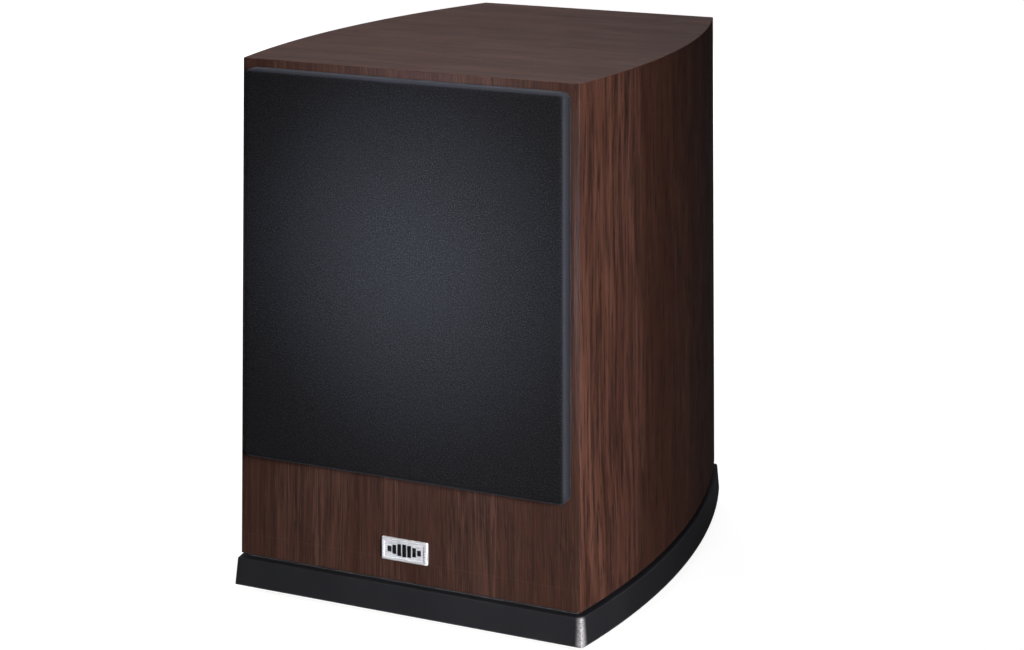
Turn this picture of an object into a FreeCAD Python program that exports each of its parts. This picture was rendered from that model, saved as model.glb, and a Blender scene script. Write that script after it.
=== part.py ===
"""An active front-firing subwoofer with a down-firing port, as a parametric FreeCAD document.

Frame: +Z up, X across the front, -Y towards the listener. The origin is on the floor, under the
middle of the cabinet. Every size is in millimetres. Each piece is one labelled object of the
document, and its shape is written to parts/LABEL.step.
"""

import FreeCAD
import Part
import Sketcher
import math
import os
import re

Vector = FreeCAD.Vector

# Driving dimensions: alias, millimetres (or degrees, or a count), what it is.
SIZES = [
    # cabinet
    ("max_width", 314, "cabinet width at its widest point"),
    ("side_radius", 770, "plan radius of each bowed side"),
    ("widest_y", -68, "where along Y the cabinet is widest"),
    ("depth", 375, "cabinet depth"),
    ("cabinet_height", 393, "cabinet height without the plinth"),
    ("board", 16, "thickness of the top, bottom, back and brace boards"),
    ("baffle", 22, "thickness of the front baffle"),
    ("side_wall", 15, "thickness of the bowed side panels"),
    ("edge_round", 0.6, "small rounding on the cabinet's outer edges"),
    ("brace_y", -50, "front face of the inner brace"),
    ("brace_rail", 38, "width of the brace's frame around its windows"),
    ("brace_bar", 30, "width of the brace's cross bar"),
    ("brace_corner", 12, "corner radius of the brace's windows"),
    ("wadding", 18, "thickness of the damping wadding"),
    ("wadding_gap", 0.5, "gap between the wadding and the side panel"),
    ("wadding_front_y", -28, "front end of the wadding"),
    ("wadding_back_y", 95, "back end of the wadding"),
    ("wadding_margin", 20, "gap above and below the wadding"),
    ("screw_gap", 0.05, "radial gap of a screw in its pilot hole"),
    ("head_flat", 0.55, "a screw head's flat top, as a share of its radius"),
    ("head_shoulder", 0.85, "a screw head's shoulder, as a share of its radius"),
    ("head_crown", 0.8, "how high that shoulder lies, as a share of the head's height"),
    ("head_brim", 0.4, "height of a screw head's upright rim, as a share of the head's height"),
    ("recess_arm", 0.45, "reach of a cross recess's arms, as a share of the head's radius"),
    ("recess_half_width", 0.12, "half the width of those arms, as a share of the head's radius"),
    ("recess_depth", 0.5, "depth of a cross recess, as a share of the head's height"),
    ("hole_gap", 0.2, "radial gap of a part in its clearance hole"),
    # plinth and feet
    ("foot_height", 8, "height of the rubber feet"),
    ("plinth_height", 24, "from the plinth's lower rim to the cabinet's underside"),
    ("shadow_gap", 3, "open gap between the plinth's rim and the cabinet"),
    ("gap_inset", 5, "how far the plinth's raised platform sits inside the cabinet's outline"),
    ("rim_top_reach", 2.5, "how far the plinth's upper rim stands out past the cabinet"),
    ("rim_foot_reach", 4.2, "how far the plinth's lower rim stands out past the cabinet"),
    ("rim_round", 1.6, "rounding of the plinth's upper rim and corners"),
    ("plinth_wall", 3, "wall thickness of the moulded plinth"),
    ("plinth_mouth", 62, "radius of the plinth's opening under the port"),
    ("rib_front_y", -95, "where along Y the front rib of the plinth stands"),
    ("rib_back_y", 115, "where along Y the back rib of the plinth stands"),
    ("rib_start", 6, "height of the ribs' lower edge above the plinth's rim"),
    ("foot_x", 108, "sideways distance of the front feet from the middle"),
    ("foot_back_x", 84, "sideways distance of the back feet from the middle"),
    ("foot_y", 148, "distance of the feet from the middle, front and back"),
    ("foot_radius", 15, "outer radius of a foot and of the boss above it"),
    ("foot_bevel", 1.5, "bevel round a foot's lower edge"),
    ("foot_screw", 2.1, "shank radius of the plinth's screws"),
    ("foot_screw_head", 4, "head radius of the plinth's screws"),
    ("foot_head_height", 3, "head height of the plinth's screws"),
    ("foot_head_recess", 4, "depth of the recess for a plinth screw's head"),
    ("foot_screw_bite", 12, "how far the plinth's screws go into the bottom board"),
    # grille and badge
    ("grille_width", 281, "overall width of the grille"),
    ("grille_height", 306, "overall height of the grille"),
    ("grille_z", 265.5, "height of the grille's centre and of the woofer's axis"),
    ("grille_depth", 12, "how far the grille stands out of the cabinet's front"),
    ("grille_corner", 6, "corner radius of the grille"),
    ("grille_edge", 3.2, "rounding of the cloth over the grille's front edge"),
    ("cloth", 1, "thickness of the grille cloth"),
    ("cloth_gap", 0.6, "gap between the cloth's rear edge and the cabinet"),
    ("window_radius", 130.5, "radius of the grille frame's round window"),
    ("window_bevel", 2, "bevel round the grille frame's window"),
    ("peg_x", 126, "sideways distance of the grille pegs from the middle"),
    ("peg_z", 134, "vertical distance of the grille pegs from the grille's centre"),
    ("peg_radius", 3.95, "radius of a grille peg"),
    ("peg_length", 11, "length of a grille peg behind the frame"),
    ("peg_root", 4, "length of a grille peg inside the frame"),
    ("peg_point", 1.4, "bevel at a grille peg's tip"),
    ("cup_bore", 4, "bore radius of a peg cup"),
    ("cup_radius", 6.5, "outer radius of a peg cup"),
    ("cup_flange", 8, "flange radius of a peg cup"),
    ("cup_lip", 1, "thickness of a peg cup's flange"),
    ("cup_depth", 14, "depth of a peg cup"),
    ("badge_width", 40, "width of the front badge"),
    ("badge_height", 17, "height of the front badge"),
    ("badge_z", 56, "height of the badge's centre above the floor"),
    ("badge_depth", 2.4, "thickness of the badge"),
    ("badge_corner", 1, "corner radius of the badge"),
    ("badge_rim", 2.4, "width of the badge's raised rim"),
    ("badge_bevel", 0.9, "bevel round the badge"),
    ("badge_recess", 1, "depth of the badge's field below its rim"),
    ("mark_bars", 7, "number of bars in the badge's mark"),
    ("mark_pitch", 4.3, "spacing of the bars in the badge's mark"),
    ("mark_bar", 3, "width of a bar in the badge's mark"),
    ("mark_tall", 9.6, "height of the tallest bar in the badge's mark"),
    ("mark_short", 4.2, "height of the shortest bar in the badge's mark"),
    ("mark_raise", 0.5, "how far the mark stands out of the badge's field"),
    # woofer
    ("flange_radius", 131, "outer radius of the woofer's flange"),
    ("flange_gap", 0.5, "gap between the woofer's flange and its rebate"),
    ("cutout_radius", 120, "radius of the woofer's hole in the baffle"),
    ("screw_circle", 125.5, "radius of the woofer's screw circle"),
    ("woofer_screws", 8, "number of woofer screws"),
    ("screw_radius", 2.1, "shank radius of a woofer screw"),
    ("screw_head", 4, "head radius of a woofer screw"),
    ("screw_head_height", 2.4, "head height of a woofer screw"),
    ("screw_length", 20, "length of a woofer screw under its head"),
    ("sheet", 1.4, "sheet thickness of the pressed basket"),
    ("sheet_lean", 0.8, "how far the basket's rear face stands outside its front face"),
    ("flange_y", 3, "depth of the basket's flange behind the baffle's face"),
    ("throat_radius", 113, "inner radius of the basket's flange"),
    ("ledge_radius", 80, "outer radius of the basket's spider ledge"),
    ("ledge_inner", 72, "inner radius of the basket's spider ledge"),
    ("ledge_y", 50, "depth of the spider ledge"),
    ("seat_radius", 60, "radius of the basket's magnet seat"),
    ("seat_bore", 30, "bore radius of the basket's magnet seat"),
    ("seat_y", 74, "depth of the magnet seat"),
    ("basket_windows", 6, "number of windows in the basket"),
    ("basket_window_low", 84, "inner radius of the basket's windows"),
    ("basket_window_high", 108, "outer radius of the basket's windows"),
    ("basket_window_half", 22, "half the angle of a basket window"),
    ("trim_inner", 120.7, "inner radius of the woofer's trim ring"),
    ("roll_radius", 8.5, "radius of the surround's half roll"),
    ("roll_centre", 104.5, "distance of the half roll from the woofer's axis"),
    ("rubber", 1.2, "thickness of the surround"),
    ("surround_rim", 120.5, "outer radius of the surround"),
    ("surround_lip", 88.5, "inner radius of the surround"),
    ("cone_radius", 95.5, "outer radius of the cone"),
    ("cone_lip", 89, "inner radius of the cone's flat gluing lip"),
    ("cone_depth", 40, "depth of the cone from its lip to its neck"),
    ("cone_wall", 1.2, "thickness of the cone"),
    ("cap_radius", 48, "radius of the dust cap"),
    ("cap_wall", 0.9, "thickness of the dust cap"),
    ("cap_y", 11, "depth of the dust cap's crown behind the baffle's face"),
    ("coil_bore", 25, "inner radius of the voice coil former"),
    ("former_wall", 0.5, "wall of the voice coil former"),
    ("former_front", 40, "depth of the former's front end"),
    ("former_back", 92, "depth of the former's rear end"),
    ("coil_wire", 1.1, "radial build of the voice coil winding"),
    ("coil_front", 67.4, "depth of the winding's front end"),
    ("coil_length", 24, "length of the voice coil winding"),
    ("plate_radius", 60, "outer radius of the magnet's front plate"),
    ("plate_bore", 27.3, "bore radius of the magnet's front plate"),
    ("plate_thickness", 8, "thickness of the magnet's front plate"),
    ("magnet_radius", 70, "outer radius of the ring magnet"),
    ("magnet_bore", 33, "bore radius of the ring magnet"),
    ("magnet_thickness", 20, "thickness of the ring magnet"),
    ("magnet_round", 1.5, "rounding of the magnet system's edges"),
    ("pole_radius", 24.5, "radius of the pole piece"),
    ("vent_radius", 9, "radius of the pole vent"),
    ("spider_radius", 79, "outer radius of the spider"),
    ("spider_wall", 0.8, "thickness of the spider"),
    ("spider_start", 29, "radius where the spider's corrugations start"),
    ("spider_wave", 1.5, "height of the spider's corrugations"),
    ("spider_waves", 8, "number of half corrugations in the spider"),
    ("terminal_width", 26, "width of the woofer's terminal board"),
    ("terminal_height", 13, "height of the woofer's terminal board"),
    ("terminal_board", 2, "thickness of the woofer's terminal board"),
    ("terminal_drop", 74.5, "distance of the terminal board's top edge below the axis"),
    ("tab_length", 7, "length of a terminal tab"),
    ("tab_width", 4.8, "width of a terminal tab"),
    ("tab_sheet", 0.8, "thickness of a terminal tab"),
    ("lead_radius", 1, "radius of a tinsel lead"),
    ("lead_x", 8, "sideways distance of the tinsel leads from the middle"),
    # port
    ("port_y", 25, "where along Y the port's axis stands"),
    ("port_bore", 35, "bore radius of the port tube"),
    ("port_wall", 3, "wall of the port tube"),
    ("port_length", 270, "length of the port tube above the cabinet's underside"),
    ("port_mouth", 46, "radius of the flared lower mouth"),
    ("port_crown", 43, "radius of the flared upper end"),
    ("mouth_flare", 24, "height of the lower flare"),
    ("crown_flare", 14, "height of the upper flare"),
    ("port_flange", 60, "radius of the port's mounting flange"),
    ("port_hole", 51, "radius of the port's hole in the bottom board"),
    ("port_screws", 4, "number of screws that hold the port"),
    ("port_screw_circle", 55.5, "radius of the port's screw circle"),
    ("port_screw", 1.4, "shank radius of a port screw"),
    ("port_screw_head", 2.8, "head radius of a port screw"),
    ("port_head_height", 1.8, "head height of a port screw"),
    ("port_screw_length", 14, "length of a port screw under its head"),
    # plate amplifier
    ("amp_width", 170, "width of the amplifier's face plate"),
    ("amp_height", 250, "height of the amplifier's face plate"),
    ("amp_z", 230, "height of the face plate's centre"),
    ("amp_lip", 11, "how far the face plate overlaps the back board around its opening"),
    ("amp_corner", 5, "corner radius of the face plate and of the opening behind it"),
    ("gasket", 1, "thickness of the amplifier's foam gasket"),
    ("plate", 2, "thickness of the face plate"),
    ("plate_bevel", 0.5, "bevel round the face plate"),
    ("amp_screw", 1.9, "shank radius of an amplifier screw"),
    ("amp_screw_head", 3.8, "head radius of an amplifier screw"),
    ("amp_head_height", 2.2, "head height of an amplifier screw"),
    ("amp_screw_length", 16, "length of an amplifier screw under its head"),
    ("standoff", 12, "distance from the face plate to the circuit board"),
    ("standoff_radius", 3.5, "radius of the face plate's pressed standoffs"),
    ("standoff_x", 64, "sideways distance of the standoffs from the middle"),
    ("standoff_z", 43, "vertical distance of the standoffs from the circuit board's centre"),
    ("pcb", 1.6, "thickness of the circuit board"),
    ("pcb_width", 140, "width of the circuit board"),
    ("pcb_height", 98, "height of the circuit board"),
    ("pcb_z", 291, "height of the circuit board's centre"),
    ("knob_x", 38, "sideways distance of the knobs from the middle"),
    ("knob_z", 292, "height of the knobs"),
    ("knob_radius", 10.5, "radius of a knob"),
    ("knob_face", 9.6, "radius of a knob's front face"),
    ("knob_reach", 12, "how far the knobs stand out of the cabinet's back"),
    ("knob_gap", 0.5, "gap between a knob and the face plate"),
    ("knob_flutes", 24, "number of grip flutes round a knob"),
    ("flute_radius", 0.7, "radius of a knob's grip flute"),
    ("knob_hollow", 8, "radius of the hollow in a knob's rear"),
    ("knob_hollow_depth", 4.2, "depth of the hollow in a knob's rear"),
    ("knob_front", 2, "thickness of a knob's front wall"),
    ("pointer_width", 1.2, "width of a knob's pointer groove"),
    ("pointer_depth", 0.5, "depth of a knob's pointer groove"),
    ("shaft_radius", 3, "radius of a potentiometer shaft"),
    ("shaft_gap", 0.05, "radial gap of a shaft in its bush"),
    ("shaft_root", 8, "how far a shaft reaches behind the face plate"),
    ("bush_radius", 3.8, "outer radius of a potentiometer bush"),
    ("bush_length", 5, "length of a potentiometer bush in front of its body"),
    ("pot_radius", 8.5, "radius of a potentiometer body"),
    ("switch_x", 38, "sideways distance of the slide switches from the middle"),
    ("switch_z", 324, "height of the slide switches"),
    ("switch_height", 8, "height of a slide switch's housing"),
    ("switch_wall", 1.5, "wall at each end of a slide switch's channel"),
    ("channel_height", 5, "height of a slide switch's channel"),
    ("channel_depth", 5, "depth of a slide switch's channel"),
    ("slider_length", 6, "length of a slider's foot in its channel"),
    ("slider_height", 4.9, "height of a slider's foot in its channel"),
    ("slider_foot", 3, "thickness of a slider's foot"),
    ("nub_width", 3.4, "width and height of a slider's nub"),
    ("nub_reach", 3, "how far a slider's nub stands out of the face plate"),
    ("slide_gap", 0.2, "gap at the ends of a slider's travel"),
    ("phase_travel", 5, "travel of the phase switch"),
    ("mode_travel", 7, "travel of the mode switch"),
    ("led_radius", 1.5, "radius of the status lamp"),
    ("led_reach", 1.2, "how far the status lamp stands out of the face plate"),
    ("rca_z", 258, "height of the socket block's centre"),
    ("rca_pitch", 18, "spacing of the phono sockets"),
    ("rca_block", 32, "width and height of the socket block"),
    ("rca_radius", 4.15, "outer radius of a phono socket's barrel"),
    ("rca_inner", 3.2, "inner radius of a phono socket's barrel"),
    ("rca_root", 4.9, "radius of the collar at a barrel's root"),
    ("rca_collar", 0.5, "thickness of the collar at a barrel's root"),
    ("rca_reach", 8.5, "exposed length of a phono socket's barrel"),
    ("rca_pin_hole", 1.7, "radius of the hole for a plug's centre pin"),
    ("rca_sunk", 1, "how far the insulator sits inside its barrel"),
    ("inlet_x", -34, "sideways place of the mains inlet"),
    ("inlet_z", 134, "height of the mains inlet and the power rocker"),
    ("bezel", 2, "thickness of the inlet's and the rocker's bezels"),
    ("bezel_corner", 1.5, "corner radius of the inlet's and the rocker's bezels"),
    ("inlet_bezel_width", 32, "width of the inlet's bezel"),
    ("inlet_bezel_height", 36, "height of the inlet's bezel"),
    ("inlet_width", 28, "width of the inlet's body"),
    ("inlet_height", 31, "height of the inlet's body"),
    ("inlet_depth", 22, "depth of the inlet's body behind the face plate"),
    ("socket_width", 24.3, "width of the inlet's plug recess"),
    ("socket_height", 16.5, "height of the inlet's plug recess"),
    ("socket_depth", 16, "depth of the inlet's plug recess"),
    ("socket_drop", 5.9, "distance of the plug recess's centre below the inlet's centre"),
    ("socket_bevel", 4.5, "bevel of the plug recess's upper corners"),
    ("prong_width", 2, "width of a mains prong"),
    ("prong_height", 4, "height of a mains prong"),
    ("prong_pitch", 7, "sideways distance of the outer prongs from the middle"),
    ("prong_step", 2, "how far the prongs sit above or below the recess's centre"),
    ("prong_tail", 6, "length of a mains prong behind the inlet"),
    ("prong_recess", 2, "how far a prong's tip sits inside the face plate's outer face"),
    ("bay_width", 24, "width of the fuse bay"),
    ("bay_height", 7.6, "height of the fuse bay"),
    ("bay_rise", 8.9, "distance of the fuse bay's centre above the inlet's centre"),
    ("bay_depth", 20, "depth of the fuse bay"),
    ("drawer_gap", 0.2, "gap between the fuse drawer and its bay"),
    ("drawer_depth", 19, "depth of the fuse drawer behind its lip"),
    ("drawer_lip", 1.6, "thickness of the fuse drawer's lip"),
    ("drawer_lip_width", 25.4, "width of the fuse drawer's lip"),
    ("drawer_lip_height", 8.8, "height of the fuse drawer's lip"),
    ("drawer_notch", 6, "width of the finger notch in the fuse drawer's lip"),
    ("fuse_radius", 2.6, "radius of the fuse's end caps"),
    ("fuse_glass", 2.4, "radius of the fuse's glass tube"),
    ("fuse_length", 20, "length of the fuse"),
    ("fuse_cap", 5, "length of a fuse end cap"),
    ("fuse_floor", 0.8, "thickness of the drawer under the fuse"),
    ("rocker_x", 36, "sideways place of the power rocker"),
    ("rocker_arm", 12.6, "radius of the rocker's rounded ends about its pivot"),
    ("rocker_width", 12.6, "width of the rocker"),
    ("rocker_tilt", 10, "tilt of the rocker each way"),
    ("rocker_pivot", 0.4, "how far the rocker's pivot sits inside the face plate's outer face"),
    ("rocker_crest", 3.6, "how far the rocker's ends stand in front of its pivot"),
    ("rocker_valley", 2, "how far the rocker's middle stands in front of its pivot"),
    ("rocker_root", 4, "how far the rocker reaches behind its pivot"),
    ("rocker_gap", 0.3, "gap between the rocker and its housing"),
    ("rocker_wall", 1.5, "wall thickness of the rocker's housing"),
    ("rocker_depth", 15, "depth of the rocker's housing behind the face plate"),
    ("rocker_cavity", 11, "depth of the rocker's cavity behind the face plate"),
    ("rocker_rim", 1.5, "how far the rocker's bezel stands out past its housing"),
    ("rocker_pin", 1.5, "radius of the rocker's pivot pins"),
    ("rocker_pin_gap", 0.05, "radial gap of the rocker's pivot pins"),
    ("rocker_pin_length", 1.3, "length of the rocker's pivot pins"),
    ("toroid_z", 196, "height of the transformer's axis"),
    ("toroid_radius", 41, "outer radius of the transformer"),
    ("toroid_bore", 14, "bore radius of the transformer"),
    ("toroid_depth", 34, "thickness of the transformer"),
    ("toroid_round", 9, "rounding of the transformer's winding"),
    ("clamp_radius", 30, "radius of the transformer's clamping dish"),
    ("clamp_sheet", 2, "thickness of the transformer's clamping dish"),
    ("clamp_bolt", 3, "radius of the transformer's bolt"),
    ("clamp_head", 5.5, "radius of the transformer bolt's head"),
    ("clamp_head_height", 3, "height of the transformer bolt's head"),
    ("sink_width", 86, "width of the heat sink"),
    ("sink_height", 74, "height of the heat sink"),
    ("sink_x", -21, "sideways place of the heat sink"),
    ("sink_base", 3, "thickness of the heat sink's base"),
    ("sink_fin", 14, "length of the heat sink's fins"),
    ("sink_fins", 12, "number of fins on the heat sink"),
    ("fin_sheet", 1.6, "thickness of a fin"),
    ("transistor_width", 15.6, "width of a power transistor"),
    ("transistor_height", 20, "height of a power transistor"),
    ("transistor_depth", 4.8, "thickness of a power transistor"),
    ("transistor_pitch", 20, "spacing of the power transistors"),
    ("capacitor_radius", 12.5, "radius of a filter capacitor"),
    ("capacitor_length", 35, "length of a filter capacitor"),
    ("capacitor_x", 48, "sideways place of the filter capacitors"),
    ("capacitor_pitch", 30, "spacing of the filter capacitors"),
    ("wire_radius", 1.5, "radius of a speaker wire"),
    ("wire_pitch", 5, "spacing of the two speaker wires"),
]
NAMES = {alias for alias, _, _ in SIZES}

# Places that several pieces share, as expressions over the sizes.
FRONT = "(-depth / 2)"
BACK = "(depth / 2)"
BOTTOM = "(foot_height + plinth_height)"
TOP = "(foot_height + plinth_height + cabinet_height)"
PLATE_IN = "(depth / 2 + gasket)"
PLATE_OUT = "(depth / 2 + gasket + plate)"
PCB_OUT = "(depth / 2 + gasket - standoff)"
PCB_IN = "(depth / 2 + gasket - standoff - pcb)"
NECK = "(flange_y + cone_depth)"
FORMER = "(coil_bore + former_wall)"
SEAT_BACK = "(seat_y + sheet)"
MAGNET_FRONT = "(seat_y + sheet + plate_thickness)"
MAGNET_BACK = "(seat_y + sheet + plate_thickness + magnet_thickness)"
# where the tinsel leads pass: how far behind the baffle's face, how far below the woofer's axis
LEAD_WAYPOINTS = (
    ("ledge_y + sheet - lead_radius - 0.3", "(terminal_drop + 11.5)"),
    ("42", "92"),
    ("35", "89"),
    ("35", "76"),
    ("28", "60"),
)
# where the speaker wires pass, and the height and depth that they end at
WIRE_WAYPOINTS = (
    ("58", f"{PCB_IN} - 2", "pcb_z - 42"),
    ("66", f"{PCB_IN} - 35", "pcb_z - 80"),
    ("68", "port_y", "pcb_z - 96"),
    ("60", "brace_y + board / 2", "pcb_z - 104"),
    ("30", f"{FRONT} + 96", "grille_z - 94"),
)
WIRE_END = (
    f"{FRONT} + ledge_y + sheet + 6",
    "grille_z - terminal_drop - terminal_height - 3",
)
HOUSING_WIDTH = "(rocker_width + 2 * rocker_gap + 2 * rocker_wall)"
HOUSING_HEIGHT = "(2 * rocker_arm + 2 * rocker_gap + 2 * rocker_wall)"

# how far apart, in mm, two places may lie and still count as one, exactly or on a tapered face
TOUCHING = 0.001
CLOSE = 0.01

doc = FreeCAD.newDocument("subwoofer")
sizes = doc.addObject("Spreadsheet::Sheet", "Sizes")
probe = doc.addObject("App::FeaturePython", "Probe")
pieces = []


# ---------------------------------------------------------------- sizes and expressions


def fill_sheet():
    """Writes each driving dimension to a row of the sheet: its name, its value and its meaning."""
    for row, (alias, value, meaning) in enumerate(SIZES, start=1):
        sizes.set(f"A{row}", alias)
        sizes.set(f"B{row}", str(value))
        sizes.setAlias(f"B{row}", alias)
        sizes.set(f"C{row}", meaning)
    probe.addProperty("App::PropertyFloat", "Value")
    doc.recompute()


def bound(text):
    """The same expression with each size's name pointing at its cell."""
    swap = lambda word: f"Sizes.{word.group()}" if word.group() in NAMES else word.group()
    return re.sub(r"[a-z][a-z_]*", swap, str(text))


def number(text):
    """What an expression over the sizes comes to now."""
    probe.setExpression("Value", bound(text))
    probe.recompute()
    return probe.Value


def side_x(y, inset="0"):
    """Half the cabinet's width at a given Y, measured on an arc that lies inset from its side."""
    return (
        f"(max_width / 2 - side_radius"
        f" + sqrt((side_radius - ({inset})) ^ 2 - (({y}) - widest_y) ^ 2))"
    )


# ---------------------------------------------------------------- document helpers


def keep(piece, label):
    """Labels a finished piece, so that it is exported under that name."""
    piece.Label = label
    pieces.append(piece)
    return piece


def place(thing, x="0", y="0", z="0"):
    """Moves an object by its Placement."""
    for axis, text in (("x", x), ("y", y), ("z", z)):
        thing.setExpression(f"Placement.Base.{axis}", bound(text))
    return thing


def new_body(label):
    return keep(doc.addObject("PartDesign::Body", label), label)


def origin_part(body, role):
    return next(part for part in body.Origin.OriginFeatures if part.Role == role)


def sketch(body, plane, at="0"):
    """An empty sketch on one of the body's origin planes, shifted along the world axis to `at`."""
    made = body.newObject("Sketcher::SketchObject", "Sketch")
    made.AttachmentSupport = [(origin_part(body, plane), "")]
    made.MapMode = "FlatFace"
    shift = f"-({at})" if plane == "XZ_Plane" else at
    made.setExpression("AttachmentOffset.Base.z", bound(shift))
    return made


def pin(made, geometry, point, x, y):
    """Fixes one point of a sketch at a pair of expressions."""
    for kind, text in (("DistanceX", x), ("DistanceY", y)):
        index = made.addConstraint(Sketcher.Constraint(kind, -1, 1, geometry, point, number(text)))
        made.setExpression(f"Constraints[{index}]", bound(text))


def outline(made, points):
    """Draws a closed outline. Each point is (x, y), reached by a line from the one before it, or
    (x, y, via_x, via_y), reached by an arc through via."""
    spots = [[number(text) for text in point] for point in points]
    ends = []
    for before, spot in zip(spots[-1:] + spots[:-1], spots):
        start, end = Vector(*before[:2]), Vector(*spot[:2])
        curve = Part.LineSegment(start, end)
        if len(spot) == 4:
            curve = Part.Arc(start, Vector(*spot[2:]), end)
        geometry = made.addGeometry(curve)
        first = 1 if made.getPoint(geometry, 1).distanceToPoint(start) < 1e-6 else 2
        ends.append((geometry, first, 3 - first))
    for place_before, (geometry, first, last), point, spot in zip(
        ends[-1:] + ends[:-1], ends, points, spots
    ):
        joint = (place_before[0], place_before[2], geometry, first)
        made.addConstraint(Sketcher.Constraint("Coincident", *joint))
        pin(made, geometry, last, point[0], point[1])
        if len(point) == 4:
            mark = made.addGeometry(Part.Point(Vector(*spot[2:])), True)
            pin(made, mark, 1, point[2], point[3])
            made.addConstraint(Sketcher.Constraint("PointOnObject", mark, 1, geometry))
    return made


def circle(made, radius, x="0", y="0"):
    centre = Vector(number(x), number(y))
    geometry = made.addGeometry(Part.Circle(centre, Vector(0, 0, 1), number(radius)))
    pin(made, geometry, 3, x, y)
    index = made.addConstraint(Sketcher.Constraint("Radius", geometry, number(radius)))
    made.setExpression(f"Constraints[{index}]", bound(radius))
    return made


def rectangle(made, x, y, width, height):
    """A rectangle around the centre x, y."""
    left, right = f"({x}) - ({width}) / 2", f"({x}) + ({width}) / 2"
    low, high = f"({y}) - ({height}) / 2", f"({y}) + ({height}) / 2"
    return outline(made, [(left, low), (right, low), (right, high), (left, high)])


def rounded_rectangle(made, x, y, width, height, radius):
    """A rectangle around the centre x, y whose corners are arcs."""
    points = []
    for sx, sy, starts_across in ((1, -1, True), (1, 1, False), (-1, 1, True), (-1, -1, False)):
        corner_x = f"({x}) + {sx} * ({width}) / 2"
        corner_y = f"({y}) + {sy} * ({height}) / 2"
        along_x = (f"{corner_x} - {sx} * ({radius})", corner_y)
        along_y = (corner_x, f"{corner_y} - {sy} * ({radius})")
        cut = f"({radius}) * (1 - sqrt(0.5))"
        via = (f"{corner_x} - {sx} * {cut}", f"{corner_y} - {sy} * {cut}")
        first, last = (along_x, along_y) if starts_across else (along_y, along_x)
        points += [first, (*last, *via)]
    return outline(made, points)


def pad(body, made, length, reverse=False, both_ways=False):
    """Pads a sketch along its plane's normal: +Z, -Y or +X, or the other way if reverse."""
    feature = body.newObject("PartDesign::Pad", "Pad")
    feature.Profile = made
    feature.setExpression("Length", bound(length))
    feature.Reversed = reverse
    feature.Midplane = both_ways
    doc.recompute()
    return feature


def pocket(body, made, depth=None, reverse=False):
    """Cuts a sketch against its plane's normal: -Z, +Y or -X, or the other way if reverse. With
    no depth it cuts through everything, both ways."""
    before = body.Shape.Volume
    feature = body.newObject("PartDesign::Pocket", "Pocket")
    feature.Profile = made
    feature.Reversed = reverse
    if depth is None:
        feature.Type = "ThroughAll"
        feature.Midplane = True
    else:
        feature.setExpression("Length", bound(depth))
    doc.recompute()
    if body.Shape.Volume > before - 1e-3:
        raise RuntimeError(f"a pocket of {body.Label} cuts nothing")
    return feature


def revolve(body, points):
    """Turns an outline of (radius, height) points round the body's own Y axis."""
    return turn(body, "XY_Plane", points)


def turn(body, plane, points):
    made = outline(sketch(body, plane), points)
    feature = body.newObject("PartDesign::Revolution", "Revolution")
    feature.Profile = made
    feature.ReferenceAxis = (made, ["V_Axis"])
    feature.Angle = 360
    doc.recompute()
    return feature


def around(body, feature, axis, count):
    """Repeats a feature round one of the body's axes."""
    pattern = body.newObject("PartDesign::PolarPattern", "PolarPattern")
    pattern.Originals = [feature]
    pattern.Axis = (origin_part(body, axis), [""])
    pattern.Angle = 360
    pattern.setExpression("Occurrences", bound(count))
    body.Tip = pattern
    doc.recompute()
    return pattern


def round_edges(body, feature, radius, chosen, kind="Fillet"):
    """Rounds or chamfers every edge of a feature whose points all pass the test `chosen`."""
    names = [
        f"Edge{index}"
        for index, edge in enumerate(feature.Shape.Edges, start=1)
        if all(chosen(point) for point in edge.discretize(5))
    ]
    if not names:
        raise RuntimeError(f"no edge of {body.Label} passes the test for its rounding")
    made = body.newObject(f"PartDesign::{kind}", kind)
    made.Base = (feature, names)
    made.setExpression("Radius" if kind == "Fillet" else "Size", bound(radius))
    doc.recompute()
    return made


def near(value, target):
    return abs(value - target) < TOUCHING


def box(x, y, z, width, depth, height):
    """A Part box around the middle of its footprint x, y and standing on z."""
    made = doc.addObject("Part::Box", "Box")
    for name, text in (("Length", width), ("Width", depth), ("Height", height)):
        made.setExpression(name, bound(text))
    return place(made, f"({x}) - ({width}) / 2", f"({y}) - ({depth}) / 2", z)


def rod(radius, x, y, z, length, axis="Y"):
    """A Part cylinder that starts at x, y, z and runs along +X, +Y or +Z."""
    made = doc.addObject("Part::Cylinder", "Cylinder")
    made.setExpression("Radius", bound(radius))
    made.setExpression("Height", bound(length))
    made.Placement.Rotation = {
        "X": FreeCAD.Rotation(Vector(0, 1, 0), 90),
        "Y": FreeCAD.Rotation(Vector(1, 0, 0), -90),
        "Z": FreeCAD.Rotation(),
    }[axis]
    return place(made, x, y, z)


def fuse(*parts):
    made = doc.addObject("Part::MultiFuse", "Fuse")
    made.Shapes = list(parts)
    return made


def cut(base, *tools):
    made = doc.addObject("Part::Cut", "Cut")
    made.Base = base
    made.Tool = tools[0] if len(tools) == 1 else fuse(*tools)
    return made


def group(label, parts):
    """One node of several separate solids."""
    made = doc.addObject("Part::Compound", label)
    made.Links = list(parts)
    return keep(made, label)


def copies(label, master, places):
    """One node that repeats a master piece at several places."""
    links = []
    for x, y, z in places:
        link = doc.addObject("App::Link", f"{label}_link")
        link.LinkedObject = master
        links.append(place(link, x, y, z))
    return group(label, links)


def loose_body(name):
    """A body that isn't exported itself, only through its copies."""
    return doc.addObject("PartDesign::Body", name)


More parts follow.
